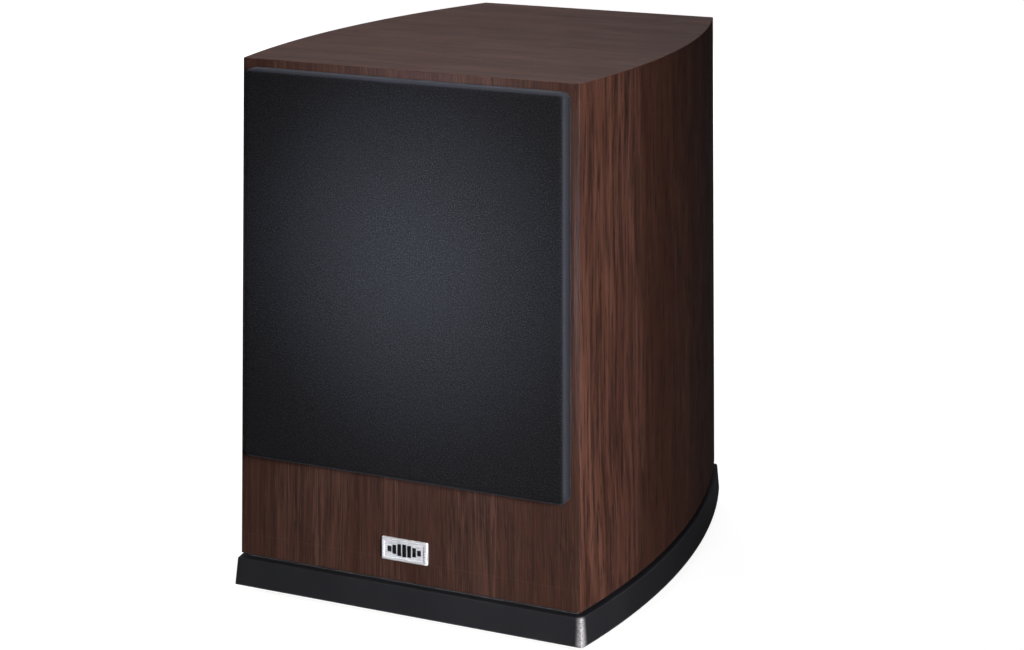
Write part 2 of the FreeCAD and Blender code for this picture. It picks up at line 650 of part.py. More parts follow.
def screw(name, head, head_height, shank, length):
    """A pan-head screw with a cross recess: its head's underside at the origin, its shank up +Z."""
    body = loose_body(name)
    turn(body, "XZ_Plane", [
        ("0", f"-({head_height})"),
        (f"head_flat * {head}", f"-({head_height})"),
        (f"head_shoulder * {head}", f"-head_crown * {head_height}"),
        (head, f"-head_brim * {head_height}"),
        (head, "0"),
        (shank, "0"),
        (shank, f"{length} - {shank}"),
        ("0", length),
    ])
    arm, half = f"recess_arm * {head}", f"recess_half_width * {head}"
    quarter = [(arm, f"-{half}"), (arm, half), (half, half), (half, arm)]
    cross = list(quarter)
    for _ in range(3):
        quarter = [(f"-({y})", x) for x, y in quarter]
        cross += quarter
    made = outline(sketch(body, "XY_Plane", f"-({head_height})"), without_doubles(cross))
    pocket(body, made, f"recess_depth * {head_height}", reverse=True)
    return body


def without_doubles(points):
    """The outline without any point that lies where the one before it does."""
    spots = [tuple(round(number(text), 6) for text in point) for point in points]
    return [point for i, point in enumerate(points) if spots[i] != spots[i - 1]]


def flare_via(narrow, narrow_z, wide, wide_z):
    """A point halfway up the arc that leaves radius `narrow` upright and bends out to `wide`."""
    rise = f"(({wide_z}) - ({narrow_z}))"
    reach = f"(({wide}) - ({narrow}))"
    arc = f"(({reach} ^ 2 + {rise} ^ 2) / (2 * {reach}))"
    radius = f"({narrow}) + {arc} - sqrt({arc} ^ 2 - ({rise} / 2) ^ 2)"
    return radius, f"(({wide_z}) + ({narrow_z})) / 2"


# ---------------------------------------------------------------- cabinet


def full_plan(made, y0, y1, inset="0"):
    """The cabinet's outline between two Y positions, its bowed sides moved in by inset."""
    middle = f"(({y0}) + ({y1})) / 2"
    near_x, far_x, bow_x = side_x(y0, inset), side_x(y1, inset), side_x(middle, inset)
    return outline(made, [
        (f"-{near_x}", y0, f"-{bow_x}", middle),
        (near_x, y0),
        (far_x, y1, bow_x, middle),
        (f"-{far_x}", y1),
    ])


def strip_plan(made, side, y0, y1, outer, inner):
    """A bowed strip along one side of the cabinet, between two insets from its outer face."""
    middle = f"(({y0}) + ({y1})) / 2"
    return outline(made, [
        (f"{side} * {side_x(y0, inner)}", y0, f"{side} * {side_x(middle, inner)}", middle),
        (f"{side} * {side_x(y0, outer)}", y0),
        (f"{side} * {side_x(y1, outer)}", y1, f"{side} * {side_x(middle, outer)}", middle),
        (f"{side} * {side_x(y1, inner)}", y1),
    ])


def corner_test():
    """A test for points on the cabinet's four upright corners."""
    corners = [(number(side_x(y)), number(y)) for y in (FRONT, BACK)]
    return lambda p: any(near(abs(p.x), x) and near(p.y, y) for x, y in corners)


def slab_between(label, y0, y1, z0, z1, origin, inset="0"):
    """A full-width board of the cabinet; its body's origin stands at the height `origin`."""
    body = new_body(label)
    made = full_plan(sketch(body, "XY_Plane", f"{z0} - {origin}"), y0, y1, inset)
    slab = pad(body, made, f"{z1} - {z0}")
    place(body, z=origin)
    return body, slab


def woofer_hole_spot():
    """Where the first hole of the woofer's screw circle lies, half a step off the X axis."""
    return "screw_circle * cos(180 / woofer_screws)", "screw_circle * sin(180 / woofer_screws)"


def peg_spots():
    return [(f"{sx} * peg_x", f"{sz} * peg_z") for sx in (-1, 1) for sz in (-1, 1)]


def foot_spots():
    fronts = [(f"{side} * foot_x", "-foot_y") for side in (-1, 1)]
    return fronts + [(f"{side} * foot_back_x", "foot_y") for side in (-1, 1)]


def port_screw_spots():
    """The port's screws stand on the diagonals of its flange."""
    reach = "port_screw_circle * sqrt(0.5)"
    return [(f"{sx} * {reach}", f"port_y + {sy} * {reach}") for sx in (-1, 1) for sy in (-1, 1)]


def make_front_baffle():
    body, slab = slab_between(
        "front_baffle", FRONT, f"{FRONT} + baffle", f"({BOTTOM} + board)", f"({TOP} - board)",
        "grille_z",
    )
    round_edges(body, slab, "edge_round", corner_test())
    face = lambda: sketch(body, "XZ_Plane", FRONT)
    pocket(body, circle(face(), "flange_radius + flange_gap"), "flange_y + sheet")
    pocket(body, circle(face(), "cutout_radius"))
    pilot = circle(face(), "screw_radius + screw_gap", *woofer_hole_spot())
    around(body, pocket(body, pilot, "screw_length"), "Y_Axis", "woofer_screws")
    holes, recesses = face(), face()
    for x, z in peg_spots():
        circle(holes, "cup_radius", x, z)
        circle(recesses, "cup_flange", x, z)
    pocket(body, holes, "cup_depth")
    pocket(body, recesses, "cup_lip")


def make_side_panels():
    for label, side in (("left_side_panel", -1), ("right_side_panel", 1)):
        body = new_body(label)
        made = sketch(body, "XY_Plane")
        strip_plan(made, side, f"{FRONT} + baffle", f"{BACK} - board", "0", "side_wall")
        pad(body, made, "cabinet_height - 2 * board")
        place(body, z=f"{BOTTOM} + board")


def make_top_and_bottom_panels():
    corner = corner_test()
    under = f"({TOP} - board)"
    top, slab = slab_between("top_panel", FRONT, BACK, under, TOP, under)
    top_z = number("board")
    round_edges(top, slab, "edge_round", lambda p: corner(p) or near(p.z, top_z))

    bottom, slab = slab_between(
        "bottom_panel", FRONT, BACK, BOTTOM, f"({BOTTOM} + board)", BOTTOM
    )
    round_edges(bottom, slab, "edge_round", lambda p: corner(p) or near(p.z, 0))
    underside = lambda: sketch(bottom, "XY_Plane")
    pocket(bottom, circle(underside(), "port_hole", "0", "port_y"))
    for spots, radius, depth in (
        (foot_spots(), "foot_screw + screw_gap", "foot_screw_bite"),
        (port_screw_spots(), "port_screw + screw_gap", "port_screw_length"),
    ):
        holes = underside()
        for x, y in spots:
            circle(holes, radius, x, y)
        pocket(bottom, holes, depth, reverse=True)


def amp_screw_spots():
    """The face plate's screws: its corners, a third of the way up each side, top and bottom."""
    x = "(amp_width / 2 - amp_lip / 2)"
    z = "(amp_height / 2 - amp_lip / 2)"
    sides = [(f"{sx} * {x}", f"{sz} * {z}") for sx in (-1, 1) for sz in (-1, -1 / 3, 1 / 3, 1)]
    return sides + [("0", z), ("0", f"-{z}")]


def opening(made):
    """The back board's opening for the amplifier."""
    width, height = "amp_width - 2 * amp_lip", "amp_height - 2 * amp_lip"
    return rounded_rectangle(made, "0", "0", width, height, "amp_corner")


def make_back_panel():
    body, slab = slab_between(
        "back_panel", f"{BACK} - board", BACK, f"({BOTTOM} + board)", f"({TOP} - board)", "amp_z"
    )
    round_edges(body, slab, "edge_round", corner_test())
    pocket(body, opening(sketch(body, "XZ_Plane", BACK)))
    holes = sketch(body, "XZ_Plane", BACK)
    for x, z in amp_screw_spots():
        circle(holes, "amp_screw + screw_gap", x, z)
    depth = "amp_screw_length - plate - gasket"
    pocket(body, holes, depth, reverse=True)


def make_internal_brace():
    body, slab = slab_between(
        "internal_brace", "brace_y", "brace_y + board", f"({BOTTOM} + board)", f"({TOP} - board)",
        f"({BOTTOM} + board)", "side_wall",
    )
    inner = f"({side_x('brace_y', 'side_wall')} - brace_rail)"
    windows = sketch(body, "XZ_Plane", "brace_y")
    for side in (-1, 1):
        rounded_rectangle(
            windows, f"{side} * ({inner} + brace_bar / 2) / 2", "cabinet_height / 2 - board",
            f"{inner} - brace_bar / 2", "cabinet_height - 2 * board - 2 * brace_rail",
            "brace_corner",
        )
    pocket(body, windows)


def make_wadding():
    pads = []
    for side in (-1, 1):
        body = loose_body("Wadding")
        made = sketch(body, "XY_Plane", f"{BOTTOM} + board + wadding_margin")
        near_face = "side_wall + wadding_gap"
        strip_plan(
            made, side, "wadding_front_y", "wadding_back_y", near_face, f"{near_face} + wadding"
        )
        pad(body, made, "cabinet_height - 2 * board - 2 * wadding_margin")
        pads.append(body)
    group("wadding", pads)


# ---------------------------------------------------------------- plinth and feet


def make_plinth():
    body = new_body("plinth")
    rim_z = "plinth_height - shadow_gap"
    foot_plan = sketch(body, "XY_Plane")
    reach = "rim_foot_reach"
    full_plan(foot_plan, f"{FRONT} - {reach}", f"{BACK} + {reach}", f"-{reach}")
    skirt = pad(body, foot_plan, rim_z)
    skirt.setExpression("TaperAngle", bound(f"-atan((rim_foot_reach - rim_top_reach) / ({rim_z}))"))
    doc.recompute()

    rim_height = number(rim_z)
    end_y = number("depth / 2 + rim_top_reach") - CLOSE
    end_x = number(side_x(BACK))
    upright = lambda p: abs(p.y) > end_y and abs(p.x) > end_x
    round_edges(body, skirt, "rim_round", lambda p: near(p.z, rim_height) or upright(p))

    inside = "plinth_wall - rim_top_reach"
    hollow = sketch(body, "XY_Plane")
    full_plan(hollow, f"{FRONT} + {inside}", f"{BACK} - ({inside})", inside)
    pocket(body, hollow, f"{rim_z} - plinth_wall", reverse=True)
    platform = sketch(body, "XY_Plane", rim_z)
    full_plan(platform, f"{FRONT} + gap_inset", f"{BACK} - gap_inset", "gap_inset")
    pad(body, platform, "shadow_gap")

    ribs = sketch(body, "XY_Plane", "rib_start")
    for y in ("rib_front_y", "rib_back_y"):
        rectangle(ribs, "0", y, f"2 * {side_x(y)}", "plinth_wall")
    pad(body, ribs, f"{rim_z} - rib_start")
    bosses, recesses, holes = (sketch(body, "XY_Plane") for _ in range(3))
    for x, y in foot_spots():
        circle(bosses, "foot_radius", x, y)
        circle(recesses, "foot_screw_head + hole_gap", x, y)
        circle(holes, "foot_screw + hole_gap", x, y)
    pad(body, bosses, rim_z)
    pocket(body, recesses, "foot_head_recess", reverse=True)
    pocket(body, holes)
    pocket(body, circle(sketch(body, "XY_Plane"), "plinth_mouth", "0", "port_y"))
    place(body, z="foot_height")


def make_feet():
    foot = loose_body("Foot")
    turn(foot, "XZ_Plane", [
        ("0", "0"),
        ("foot_radius - foot_bevel", "0"),
        ("foot_radius", "foot_bevel"),
        ("foot_radius", "foot_height"),
        ("0", "foot_height"),
    ])
    copies("feet", foot, [(x, y, "0") for x, y in foot_spots()])


def make_plinth_and_port_screws():
    seat_z = "foot_height + foot_head_recess"
    length = "(plinth_height - foot_head_recess + foot_screw_bite)"
    master = screw("FootScrew", "foot_screw_head", "foot_head_height", "foot_screw", length)
    copies("foot_screws", master, [(x, y, seat_z) for x, y in foot_spots()])
    master = screw(
        "PortScrew", "port_screw_head", "port_head_height", "port_screw",
        "(port_screw_length + plinth_wall)",
    )
    seat_z = f"{BOTTOM} - plinth_wall"
    copies("port_screws", master, [(x, y, seat_z) for x, y in port_screw_spots()])


def make_bass_reflex_tube():
    """The tube hangs from a flange under the bottom board; both its ends are flared."""
    body = new_body("bass_reflex_tube")
    outer = "(port_bore + port_wall)"
    crown_z = "(port_length - crown_flare)"
    throat_r = "(port_mouth + port_wall)"
    turn(body, "XZ_Plane", [
        ("port_mouth", "0", *flare_via("port_bore", "mouth_flare", "port_mouth", "0")),
        ("port_flange", "0"),
        ("port_flange", "plinth_wall"),
        (throat_r, "plinth_wall"),
        (outer, "mouth_flare", *flare_via(outer, "mouth_flare", throat_r, "plinth_wall")),
        (outer, crown_z),
        (
            "port_crown + port_wall", "port_length",
            *flare_via(outer, crown_z, "port_crown + port_wall", "port_length"),
        ),
        ("port_crown", "port_length"),
        ("port_bore", crown_z, *flare_via("port_bore", crown_z, "port_crown", "port_length")),
        ("port_bore", "mouth_flare"),
    ])
    holes = sketch(body, "XY_Plane")
    for x, y in port_screw_spots():
        circle(holes, "port_screw + hole_gap", x, f"{y} - port_y")
    pocket(body, holes)
    place(body, "0", "port_y", f"{BOTTOM} - plinth_wall")


# ---------------------------------------------------------------- badge and grille


def make_badge():
    frame = new_body("badge_frame")
    made = sketch(frame, "XZ_Plane")
    rounded_rectangle(made, "0", "0", "badge_width", "badge_height", "badge_corner")
    block = pad(frame, made, "badge_depth")
    front_y = -number("badge_depth")
    round_edges(frame, block, "badge_bevel", lambda p: near(p.y, front_y), "Chamfer")
    field = sketch(frame, "XZ_Plane", "-badge_depth")
    rectangle(field, "0", "0", "badge_width - 2 * badge_rim", "badge_height - 2 * badge_rim")
    pocket(frame, field, "badge_recess")
    place(frame, "0", FRONT, "badge_z")

    mark = new_body("badge_mark")
    bars = sketch(mark, "XZ_Plane")
    count = int(number("mark_bars"))
    for index in range(count):
        step = f"{index} - (mark_bars - 1) / 2"
        swell = f"sin(180 * {index} / (mark_bars - 1))"
        height = f"mark_short + (mark_tall - mark_short) * {swell}"
        rectangle(bars, f"({step}) * mark_pitch", "0", "mark_bar", height)
    pad(mark, bars, "mark_raise")
    place(mark, "0", f"{FRONT} - badge_depth + badge_recess", "badge_z")


def grille_outline(made, inset):
    width, height = f"grille_width - 2 * ({inset})", f"grille_height - 2 * ({inset})"
    return rounded_rectangle(made, "0", "0", width, height, f"grille_corner - ({inset})")


def make_grille():
    frame = new_body("grille_frame")
    block = pad(frame, grille_outline(sketch(frame, "XZ_Plane"), "cloth"), "grille_depth - cloth")
    front_y = -number("grille_depth - cloth")
    on_front = lambda p: near(p.y, front_y)
    round_edges(frame, block, "grille_edge - cloth", on_front)
    window = pocket(frame, circle(sketch(frame, "XZ_Plane"), "window_radius"))
    window_r = number("window_radius")
    on_window = lambda p: on_front(p) and near(math.hypot(p.x, p.z), window_r)
    round_edges(frame, window, "window_bevel", on_window, "Chamfer")
    sockets = sketch(frame, "XZ_Plane")
    for x, z in peg_spots():
        circle(sockets, "peg_radius", x, z)
    pocket(frame, sockets, "peg_root", reverse=True)
    place(frame, "0", FRONT, "grille_z")

    cloth = new_body("grille_cloth")
    made = grille_outline(sketch(cloth, "XZ_Plane", "-cloth_gap"), "0")
    block = pad(cloth, made, "grille_depth - cloth_gap")
    outer_y = -number("grille_depth")
    round_edges(cloth, block, "grille_edge", lambda p: near(p.y, outer_y))
    hollow = grille_outline(sketch(cloth, "XZ_Plane", "-cloth_gap"), "cloth")
    inside = pocket(cloth, hollow, "grille_depth - cloth - cloth_gap", reverse=True)
    round_edges(cloth, inside, "grille_edge - cloth", on_front)
    place(cloth, "0", FRONT, "grille_z")


def make_pegs_and_cups():
    peg = loose_body("Peg")
    revolve(peg, [
        ("0", "-peg_root"),
        ("peg_radius", "-peg_root"),
        ("peg_radius", "peg_length - peg_point"),
        ("peg_radius - peg_point", "peg_length"),
        ("0", "peg_length"),
    ])
    cup = loose_body("Cup")
    revolve(cup, [
        ("cup_bore", "0"),
        ("cup_flange", "0"),
        ("cup_flange", "cup_lip"),
        ("cup_radius", "cup_lip"),
        ("cup_radius", "cup_depth"),
        ("0", "cup_depth"),
        ("0", "cup_depth - cup_lip"),
        ("cup_bore", "cup_depth - cup_lip"),
    ])
    places = [(x, FRONT, f"grille_z + {z}") for x, z in peg_spots()]
    copies("grille_pegs", peg, places)
    copies("peg_cups", cup, places)


# ---------------------------------------------------------------- woofer


def woofer_body(label):
    """A body whose origin is on the woofer's axis, in the plane of the baffle's face."""
    return place(new_body(label), "0", FRONT, "grille_z")


def woofer_screw_holes(body):
    hole = circle(sketch(body, "XZ_Plane"), "screw_radius + hole_gap", *woofer_hole_spot())
    around(body, pocket(body, hole), "Y_Axis", "woofer_screws")


def make_basket():
    body = woofer_body("woofer_basket")
    rear = lambda y: f"{y} + sheet"
    revolve(body, [
        ("flange_radius", "flange_y"),
        ("flange_radius", rear("flange_y")),
        ("throat_radius + sheet_lean", rear("flange_y")),
        ("ledge_radius + sheet_lean", rear("ledge_y")),
        ("ledge_inner + sheet_lean", rear("ledge_y")),
        ("seat_radius + sheet_lean", rear("seat_y")),
        ("seat_bore", rear("seat_y")),
        ("seat_bore", "seat_y"),
        ("seat_radius", "seat_y"),
        ("ledge_inner", "ledge_y"),
        ("ledge_radius", "ledge_y"),
        ("throat_radius", "flange_y"),
    ])
    low, high, half = "basket_window_low", "basket_window_high", "basket_window_half"
    side = lambda radius, sign: (f"{sign} * {radius} * sin({half})", f"-{radius} * cos({half})")
    window = outline(sketch(body, "XZ_Plane"), [
        (*side(low, -1), "0", f"-{low}"),
        side(high, -1),
        (*side(high, 1), "0", f"-{high}"),
        side(low, 1),
    ])
    around(body, pocket(body, window), "Y_Axis", "basket_windows")
    woofer_screw_holes(body)


def make_magnet_system():
    bevel = "magnet_round"
    plate = woofer_body("magnet_plate")
    revolve(plate, [
        ("plate_bore", SEAT_BACK),
        ("plate_radius", SEAT_BACK),
        ("plate_radius", MAGNET_FRONT),
        ("plate_bore", MAGNET_FRONT),
    ])
    ring = woofer_body("magnet_ring")
    revolve(ring, [
        ("magnet_bore", MAGNET_FRONT),
        (f"magnet_radius - {bevel}", MAGNET_FRONT),
        ("magnet_radius", f"{MAGNET_FRONT} + {bevel}"),
        ("magnet_radius", f"{MAGNET_BACK} - {bevel}"),
        (f"magnet_radius - {bevel}", MAGNET_BACK),
        ("magnet_bore", MAGNET_BACK),
    ])
    yoke = woofer_body("yoke")
    back_y = f"{MAGNET_BACK} + plate_thickness"
    revolve(yoke, [
        ("vent_radius", SEAT_BACK),
        ("pole_radius", SEAT_BACK),
        ("pole_radius", MAGNET_BACK),
        ("plate_radius", MAGNET_BACK),
        ("plate_radius", f"{back_y} - {bevel}"),
        (f"plate_radius - {bevel}", back_y),
        (f"vent_radius + {bevel}", back_y),
        ("vent_radius", f"{back_y} - {bevel}"),
    ])


def tube(label, inner, outer, y0, y1):
    body = woofer_body(label)
    revolve(body, [(inner, y0), (outer, y0), (outer, y1), (inner, y1)])


def cone_face(radius):
    """Depth of the cone's front face at a radius."""
    return f"(flange_y + cone_depth * (cone_lip - ({radius})) / (cone_lip - {FORMER}))"


def make_moving_assembly():
    tube("voice_coil_former", "coil_bore", FORMER, "former_front", "former_back")
    winding_end = "coil_front + coil_length"
    tube("voice_coil", FORMER, f"{FORMER} + coil_wire", "coil_front", winding_end)

    cone = woofer_body("cone")
    revolve(cone, [
        ("cone_lip", "flange_y"),
        ("cone_radius", "flange_y"),
        ("cone_radius", "flange_y + cone_wall"),
        ("cone_lip + sheet_lean", "flange_y + cone_wall"),
        (FORMER, f"{NECK} + cone_wall"),
        (FORMER, NECK),
    ])

    cap = woofer_body("dust_cap")
    inner = "(cap_radius - cap_wall)"
    dome = lambda r, reach, rise: f"(({reach} ^ 2 + {rise} ^ 2) / (2 * {rise}) - " \
        f"sqrt((({reach} ^ 2 + {rise} ^ 2) / (2 * {rise})) ^ 2 - ({r}) ^ 2))"
    rise = f"({cone_face('cap_radius')} - cap_y)"
    inner_rise = f"({cone_face(inner)} - cap_y - cap_wall)"
    half = "(cap_radius / 2)"
    revolve(cap, [
        ("0", "cap_y", half, f"cap_y + {dome(half, 'cap_radius', rise)}"),
        ("0", "cap_y + cap_wall"),
        (inner, cone_face(inner), half, f"cap_y + cap_wall + {dome(half, inner, inner_rise)}"),
        ("cap_radius", cone_face("cap_radius")),
    ])


def make_surround():
    """A rubber ring with one half roll; its rims lie on the cone's lip and on the basket."""
    body = woofer_body("surround")
    front = "(flange_y - rubber)"
    roll, inside = "roll_radius", "(roll_radius - rubber)"
    revolve(body, [
        ("surround_lip", front),
        (f"roll_centre - {roll}", front),
        (f"roll_centre + {roll}", front, "roll_centre", f"{front} - {roll}"),
        ("surround_rim", front),
        ("surround_rim", "flange_y"),
        (f"roll_centre + {inside}", "flange_y"),
        (f"roll_centre + {inside}", front),
        (f"roll_centre - {inside}", front, "roll_centre", f"{front} - {inside}"),
        (f"roll_centre - {inside}", "flange_y"),
        ("surround_lip", "flange_y"),
    ])


def make_trim_ring():
    body = woofer_body("trim_ring")
    revolve(body, [
        ("trim_inner", "0"),
        ("flange_radius", "0"),
        ("flange_radius", "flange_y"),
        ("trim_inner", "flange_y"),
    ])
    woofer_screw_holes(body)


def make_spider():
    """A corrugated disc from the former out to the basket's ledge."""
    body = woofer_body("spider")
    step = "((ledge_inner - spider_start) / spider_waves)"
    count = int(number("spider_waves"))
    faces = []
    for y in ("(ledge_y - spider_wall)", "ledge_y"):
        face = [(FORMER, y), ("spider_start", y)]
        for index in range(count):
            crest = f"{y} + {(-1) ** index} * spider_wave"
            end = f"spider_start + {index + 1} * {step}"
            face.append((end, y, f"{end} - {step} / 2", crest))
        faces.append(face + [("spider_radius", y)])
    front, rear = faces
    rear_points = []
    for index in range(len(rear) - 1, -1, -1):
        via = rear[index + 1][2:] if index + 1 < len(rear) else ()
        rear_points.append((*rear[index][:2], *via))
    revolve(body, front + rear_points)


def make_terminal_board():
    """A small board behind the basket's ledge, with two tabs for the speaker wires."""
    rear = f"({FRONT} + ledge_y + sheet)"
    top = "(grille_z - terminal_drop)"
    plate = box(
        "0", f"{rear} + terminal_board / 2", f"{top} - terminal_height",
        "terminal_width", "terminal_board", "terminal_height",
    )
    tabs = [
        box(
            f"{side} * lead_x", f"{rear} + terminal_board - tab_sheet / 2",
            f"{top} - terminal_height - tab_length", "tab_width", "tab_sheet",
            "tab_length + terminal_height / 2",
        )
        for side in (-1, 1)
    ]
    keep(fuse(plate, *tabs), "terminal_board")


def flexible_wire(points, radius):
    """A round wire swept along a smooth curve through points in the cabinet's frame."""
    spots = [Vector(*(number(text) for text in point)) for point in points]
    curve = Part.BSplineCurve()
    curve.interpolate(spots)
    spine = Part.Wire([curve.toShape()])
    start, along = spine.Edges[0].valueAt(0), spine.Edges[0].tangentAt(0)
    ring = Part.Wire([Part.Circle(start, along, number(radius)).toShape()])
    made = doc.addObject("Part::Feature", "Wire")
    made.Shape = spine.makePipeShell([ring], True, False)
    return made


def make_wires():
    """Tinsel leads from the terminal board through a basket window to the cone, and the two
    speaker wires from the circuit board past the port and the brace to the terminal board."""
    leads = []
    for side in (-1, 1):
        x = f"{side} * lead_x"
        leads.append(flexible_wire(
            [(x, f"{FRONT} + {y}", f"grille_z - {drop}") for y, drop in LEAD_WAYPOINTS],
            "lead_radius",
        ))
    group("tinsel_leads", leads)

    wires = []
    for side in (-1, 1):
        shift = f"{side} * wire_pitch / 2"
        wires.append(flexible_wire(
            [(f"{x} + {shift}", y, z) for x, y, z in WIRE_WAYPOINTS]
            + [(f"{side} * lead_x + terminal_width / 8", *WIRE_END)],
            "wire_radius",
        ))
    group("speaker_wires", wires)


def make_woofer_screws():
    master = screw(
        "WooferScrew", "screw_head", "screw_head_height", "screw_radius", "screw_length"
    )
    copies("woofer_screws", master, woofer_screw_places())
    aim("woofer_screws", FreeCAD.Rotation(Vector(1, 0, 0), -90))


def woofer_screw_places():
    places = []
    for index in range(int(number("woofer_screws"))):
        angle = f"(360 * {index} / woofer_screws + 180 / woofer_screws)"
        x, z = f"screw_circle * cos({angle})", f"grille_z + screw_circle * sin({angle})"
        places.append((x, FRONT, z))
    return places


def aim(label, rotation):
    """Turns every copy in a group; each stays where it is."""
    for link in doc.getObject(label).Links:
        link.Placement.Rotation = rotation


# ---------------------------------------------------------------- plate amplifier


def amp_body(label, y):
    """A body whose origin is at the middle of the face plate, at the given depth."""
    return place(new_body(label), "0", y, "amp_z")


def holes_in(body, spots, radius):
    made = sketch(body, "XZ_Plane")
    for x, z in spots:
        circle(made, radius, x, z)
    pocket(body, made)


def make_gasket():
    body = amp_body("amp_gasket", BACK)
    made = sketch(body, "XZ_Plane")
    rounded_rectangle(made, "0", "0", "amp_width", "amp_height", "amp_corner")
    pad(body, made, "gasket", reverse=True)
    pocket(body, opening(sketch(body, "XZ_Plane")))
    holes_in(body, amp_screw_spots(), "amp_screw + hole_gap")


def rca_spots():
    half = "rca_pitch / 2"
    return [
        (f"{sx} * {half}", f"rca_z - amp_z + {sz} * {half}") for sx in (-1, 1) for sz in (-1, 1)
    ]


def make_faceplate():
    body = amp_body("amp_faceplate", PLATE_IN)
    made = sketch(body, "XZ_Plane")
    rounded_rectangle(made, "0", "0", "amp_width", "amp_height", "amp_corner")
    slab = pad(body, made, "plate", reverse=True)
    outer_y = number("plate")
    round_edges(body, slab, "plate_bevel", lambda p: near(p.y, outer_y), "Chamfer")
    posts = sketch(body, "XZ_Plane")
    for sx in (-1, 1):
        for sz in (-1, 1):
            z = f"pcb_z - amp_z + {sz} * standoff_z"
            circle(posts, "standoff_radius", f"{sx} * standoff_x", z)
    pad(body, posts, "standoff")
    holes_in(body, amp_screw_spots(), "amp_screw + hole_gap")
    knobs = [(f"{side} * knob_x", "knob_z - amp_z") for side in (-1, 1)]
    holes_in(body, knobs, "bush_radius + hole_gap")
    holes_in(body, rca_spots(), "rca_radius + hole_gap / 2")
    holes_in(body, [("0", "switch_z - amp_z")], "led_radius + hole_gap / 2")
    holes_in(body, [("0", "toroid_z - amp_z")], "clamp_bolt + hole_gap")
    slots = sketch(body, "XZ_Plane")
    for x, z, width, height in (
        ("switch_x", "switch_z", "nub_width + phase_travel", "nub_width"),
        ("-switch_x", "switch_z", "nub_width + mode_travel", "nub_width"),
        ("inlet_x", "inlet_z", "inlet_width", "inlet_height"),
        ("rocker_x", "inlet_z", HOUSING_WIDTH, HOUSING_HEIGHT),
    ):
        width, height = f"{width} + 2 * hole_gap", f"{height} + 2 * hole_gap"
        rectangle(slots, x, f"{z} - amp_z", width, height)
    pocket(body, slots)


def make_amp_screws():
    master = screw("AmpScrew", "amp_screw_head", "amp_head_height", "amp_screw", "amp_screw_length")
    places = [(x, PLATE_OUT, f"amp_z + {z}") for x, z in amp_screw_spots()]
    copies("amp_screws", master, places)
    aim("amp_screws", FreeCAD.Rotation(Vector(1, 0, 0), 90))


def make_amp_board():
    """The circuit board, its heat sink, its power transistors and its filter capacitors."""
    low_z = "pcb_z - pcb_height / 2"
    pcb = box("0", f"{PCB_IN} + pcb / 2", low_z, "pcb_width", "pcb", "pcb_height")
    keep(pcb, "amp_board")

    rear = f"({PCB_IN} - transistor_depth)"
    sink = new_body("heat_sink")
    comb = [("sink_width / 2", "0"), ("-sink_width / 2", "0")]
    step = "((sink_width - fin_sheet) / (sink_fins - 1))"
    fins = int(number("sink_fins"))
    for index in range(fins):
        left = f"-sink_width / 2 + {index} * {step}"
        right = f"{left} + fin_sheet"
        tip, base = "-(sink_base + sink_fin)", "-sink_base"
        comb += [(left, base), (left, tip), (right, tip), (right, base)]
    comb.remove(("-sink_width / 2 + 0 * " + step, base))
    comb.pop()
    pad(sink, outline(sketch(sink, "XY_Plane"), comb), "sink_height")
    place(sink, "sink_x", rear, "pcb_z - sink_height / 2")

    row = [f"sink_x + ({index} - 1.5) * transistor_pitch" for index in range(4)]
    group("power_transistors", [
        box(x, f"{rear} + transistor_depth / 2", "pcb_z", "transistor_width",
            "transistor_depth", "transistor_height")
        for x in row
    ])
    group("filter_capacitors", [
        rod("capacitor_radius", "capacitor_x", f"{PCB_IN} - capacitor_length",
            f"pcb_z + {sign} * capacitor_pitch / 2 + capacitor_pitch / 4", "capacitor_length")
        for sign in (-1, 1)
    ])


def make_transformer():
    """A toroid held against the face plate by a dish and a bolt."""
    body = place(new_body("transformer"), "0", PLATE_IN, "toroid_z")
    inner, outer, deep, bend = "toroid_bore", "toroid_radius", "-toroid_depth", "toroid_round"
    cut_off = f"{bend} * (1 - sqrt(0.5))"
    revolve(body, [
        (inner, "0"),
        (f"{outer} - {bend}", "0"),
        (outer, f"-{bend}", f"{outer} - {cut_off}", f"-{cut_off}"),
        (outer, f"{deep} + {bend}"),
        (f"{outer} - {bend}", deep, f"{outer} - {cut_off}", f"{deep} + {cut_off}"),
        (inner, deep),
    ])
    clamp = place(new_body("transformer_clamp"), "0", PLATE_IN, "toroid_z")
    dish = "(-toroid_depth - clamp_sheet)"
    revolve(clamp, [
        ("0", f"{dish} - clamp_head_height"),
        ("clamp_head", f"{dish} - clamp_head_height"),
        ("clamp_head", dish),
        ("clamp_radius", dish),
        ("clamp_radius", "-toroid_depth"),
        ("clamp_bolt", "-toroid_depth"),
        ("clamp_bolt", "plate"),
        ("clamp_head", "plate"),
        ("clamp_head", "plate + 0.5 * clamp_head_height"),
        ("clamp_bolt", "plate + clamp_head_height"),
        ("0", "plate + clamp_head_height"),
    ])


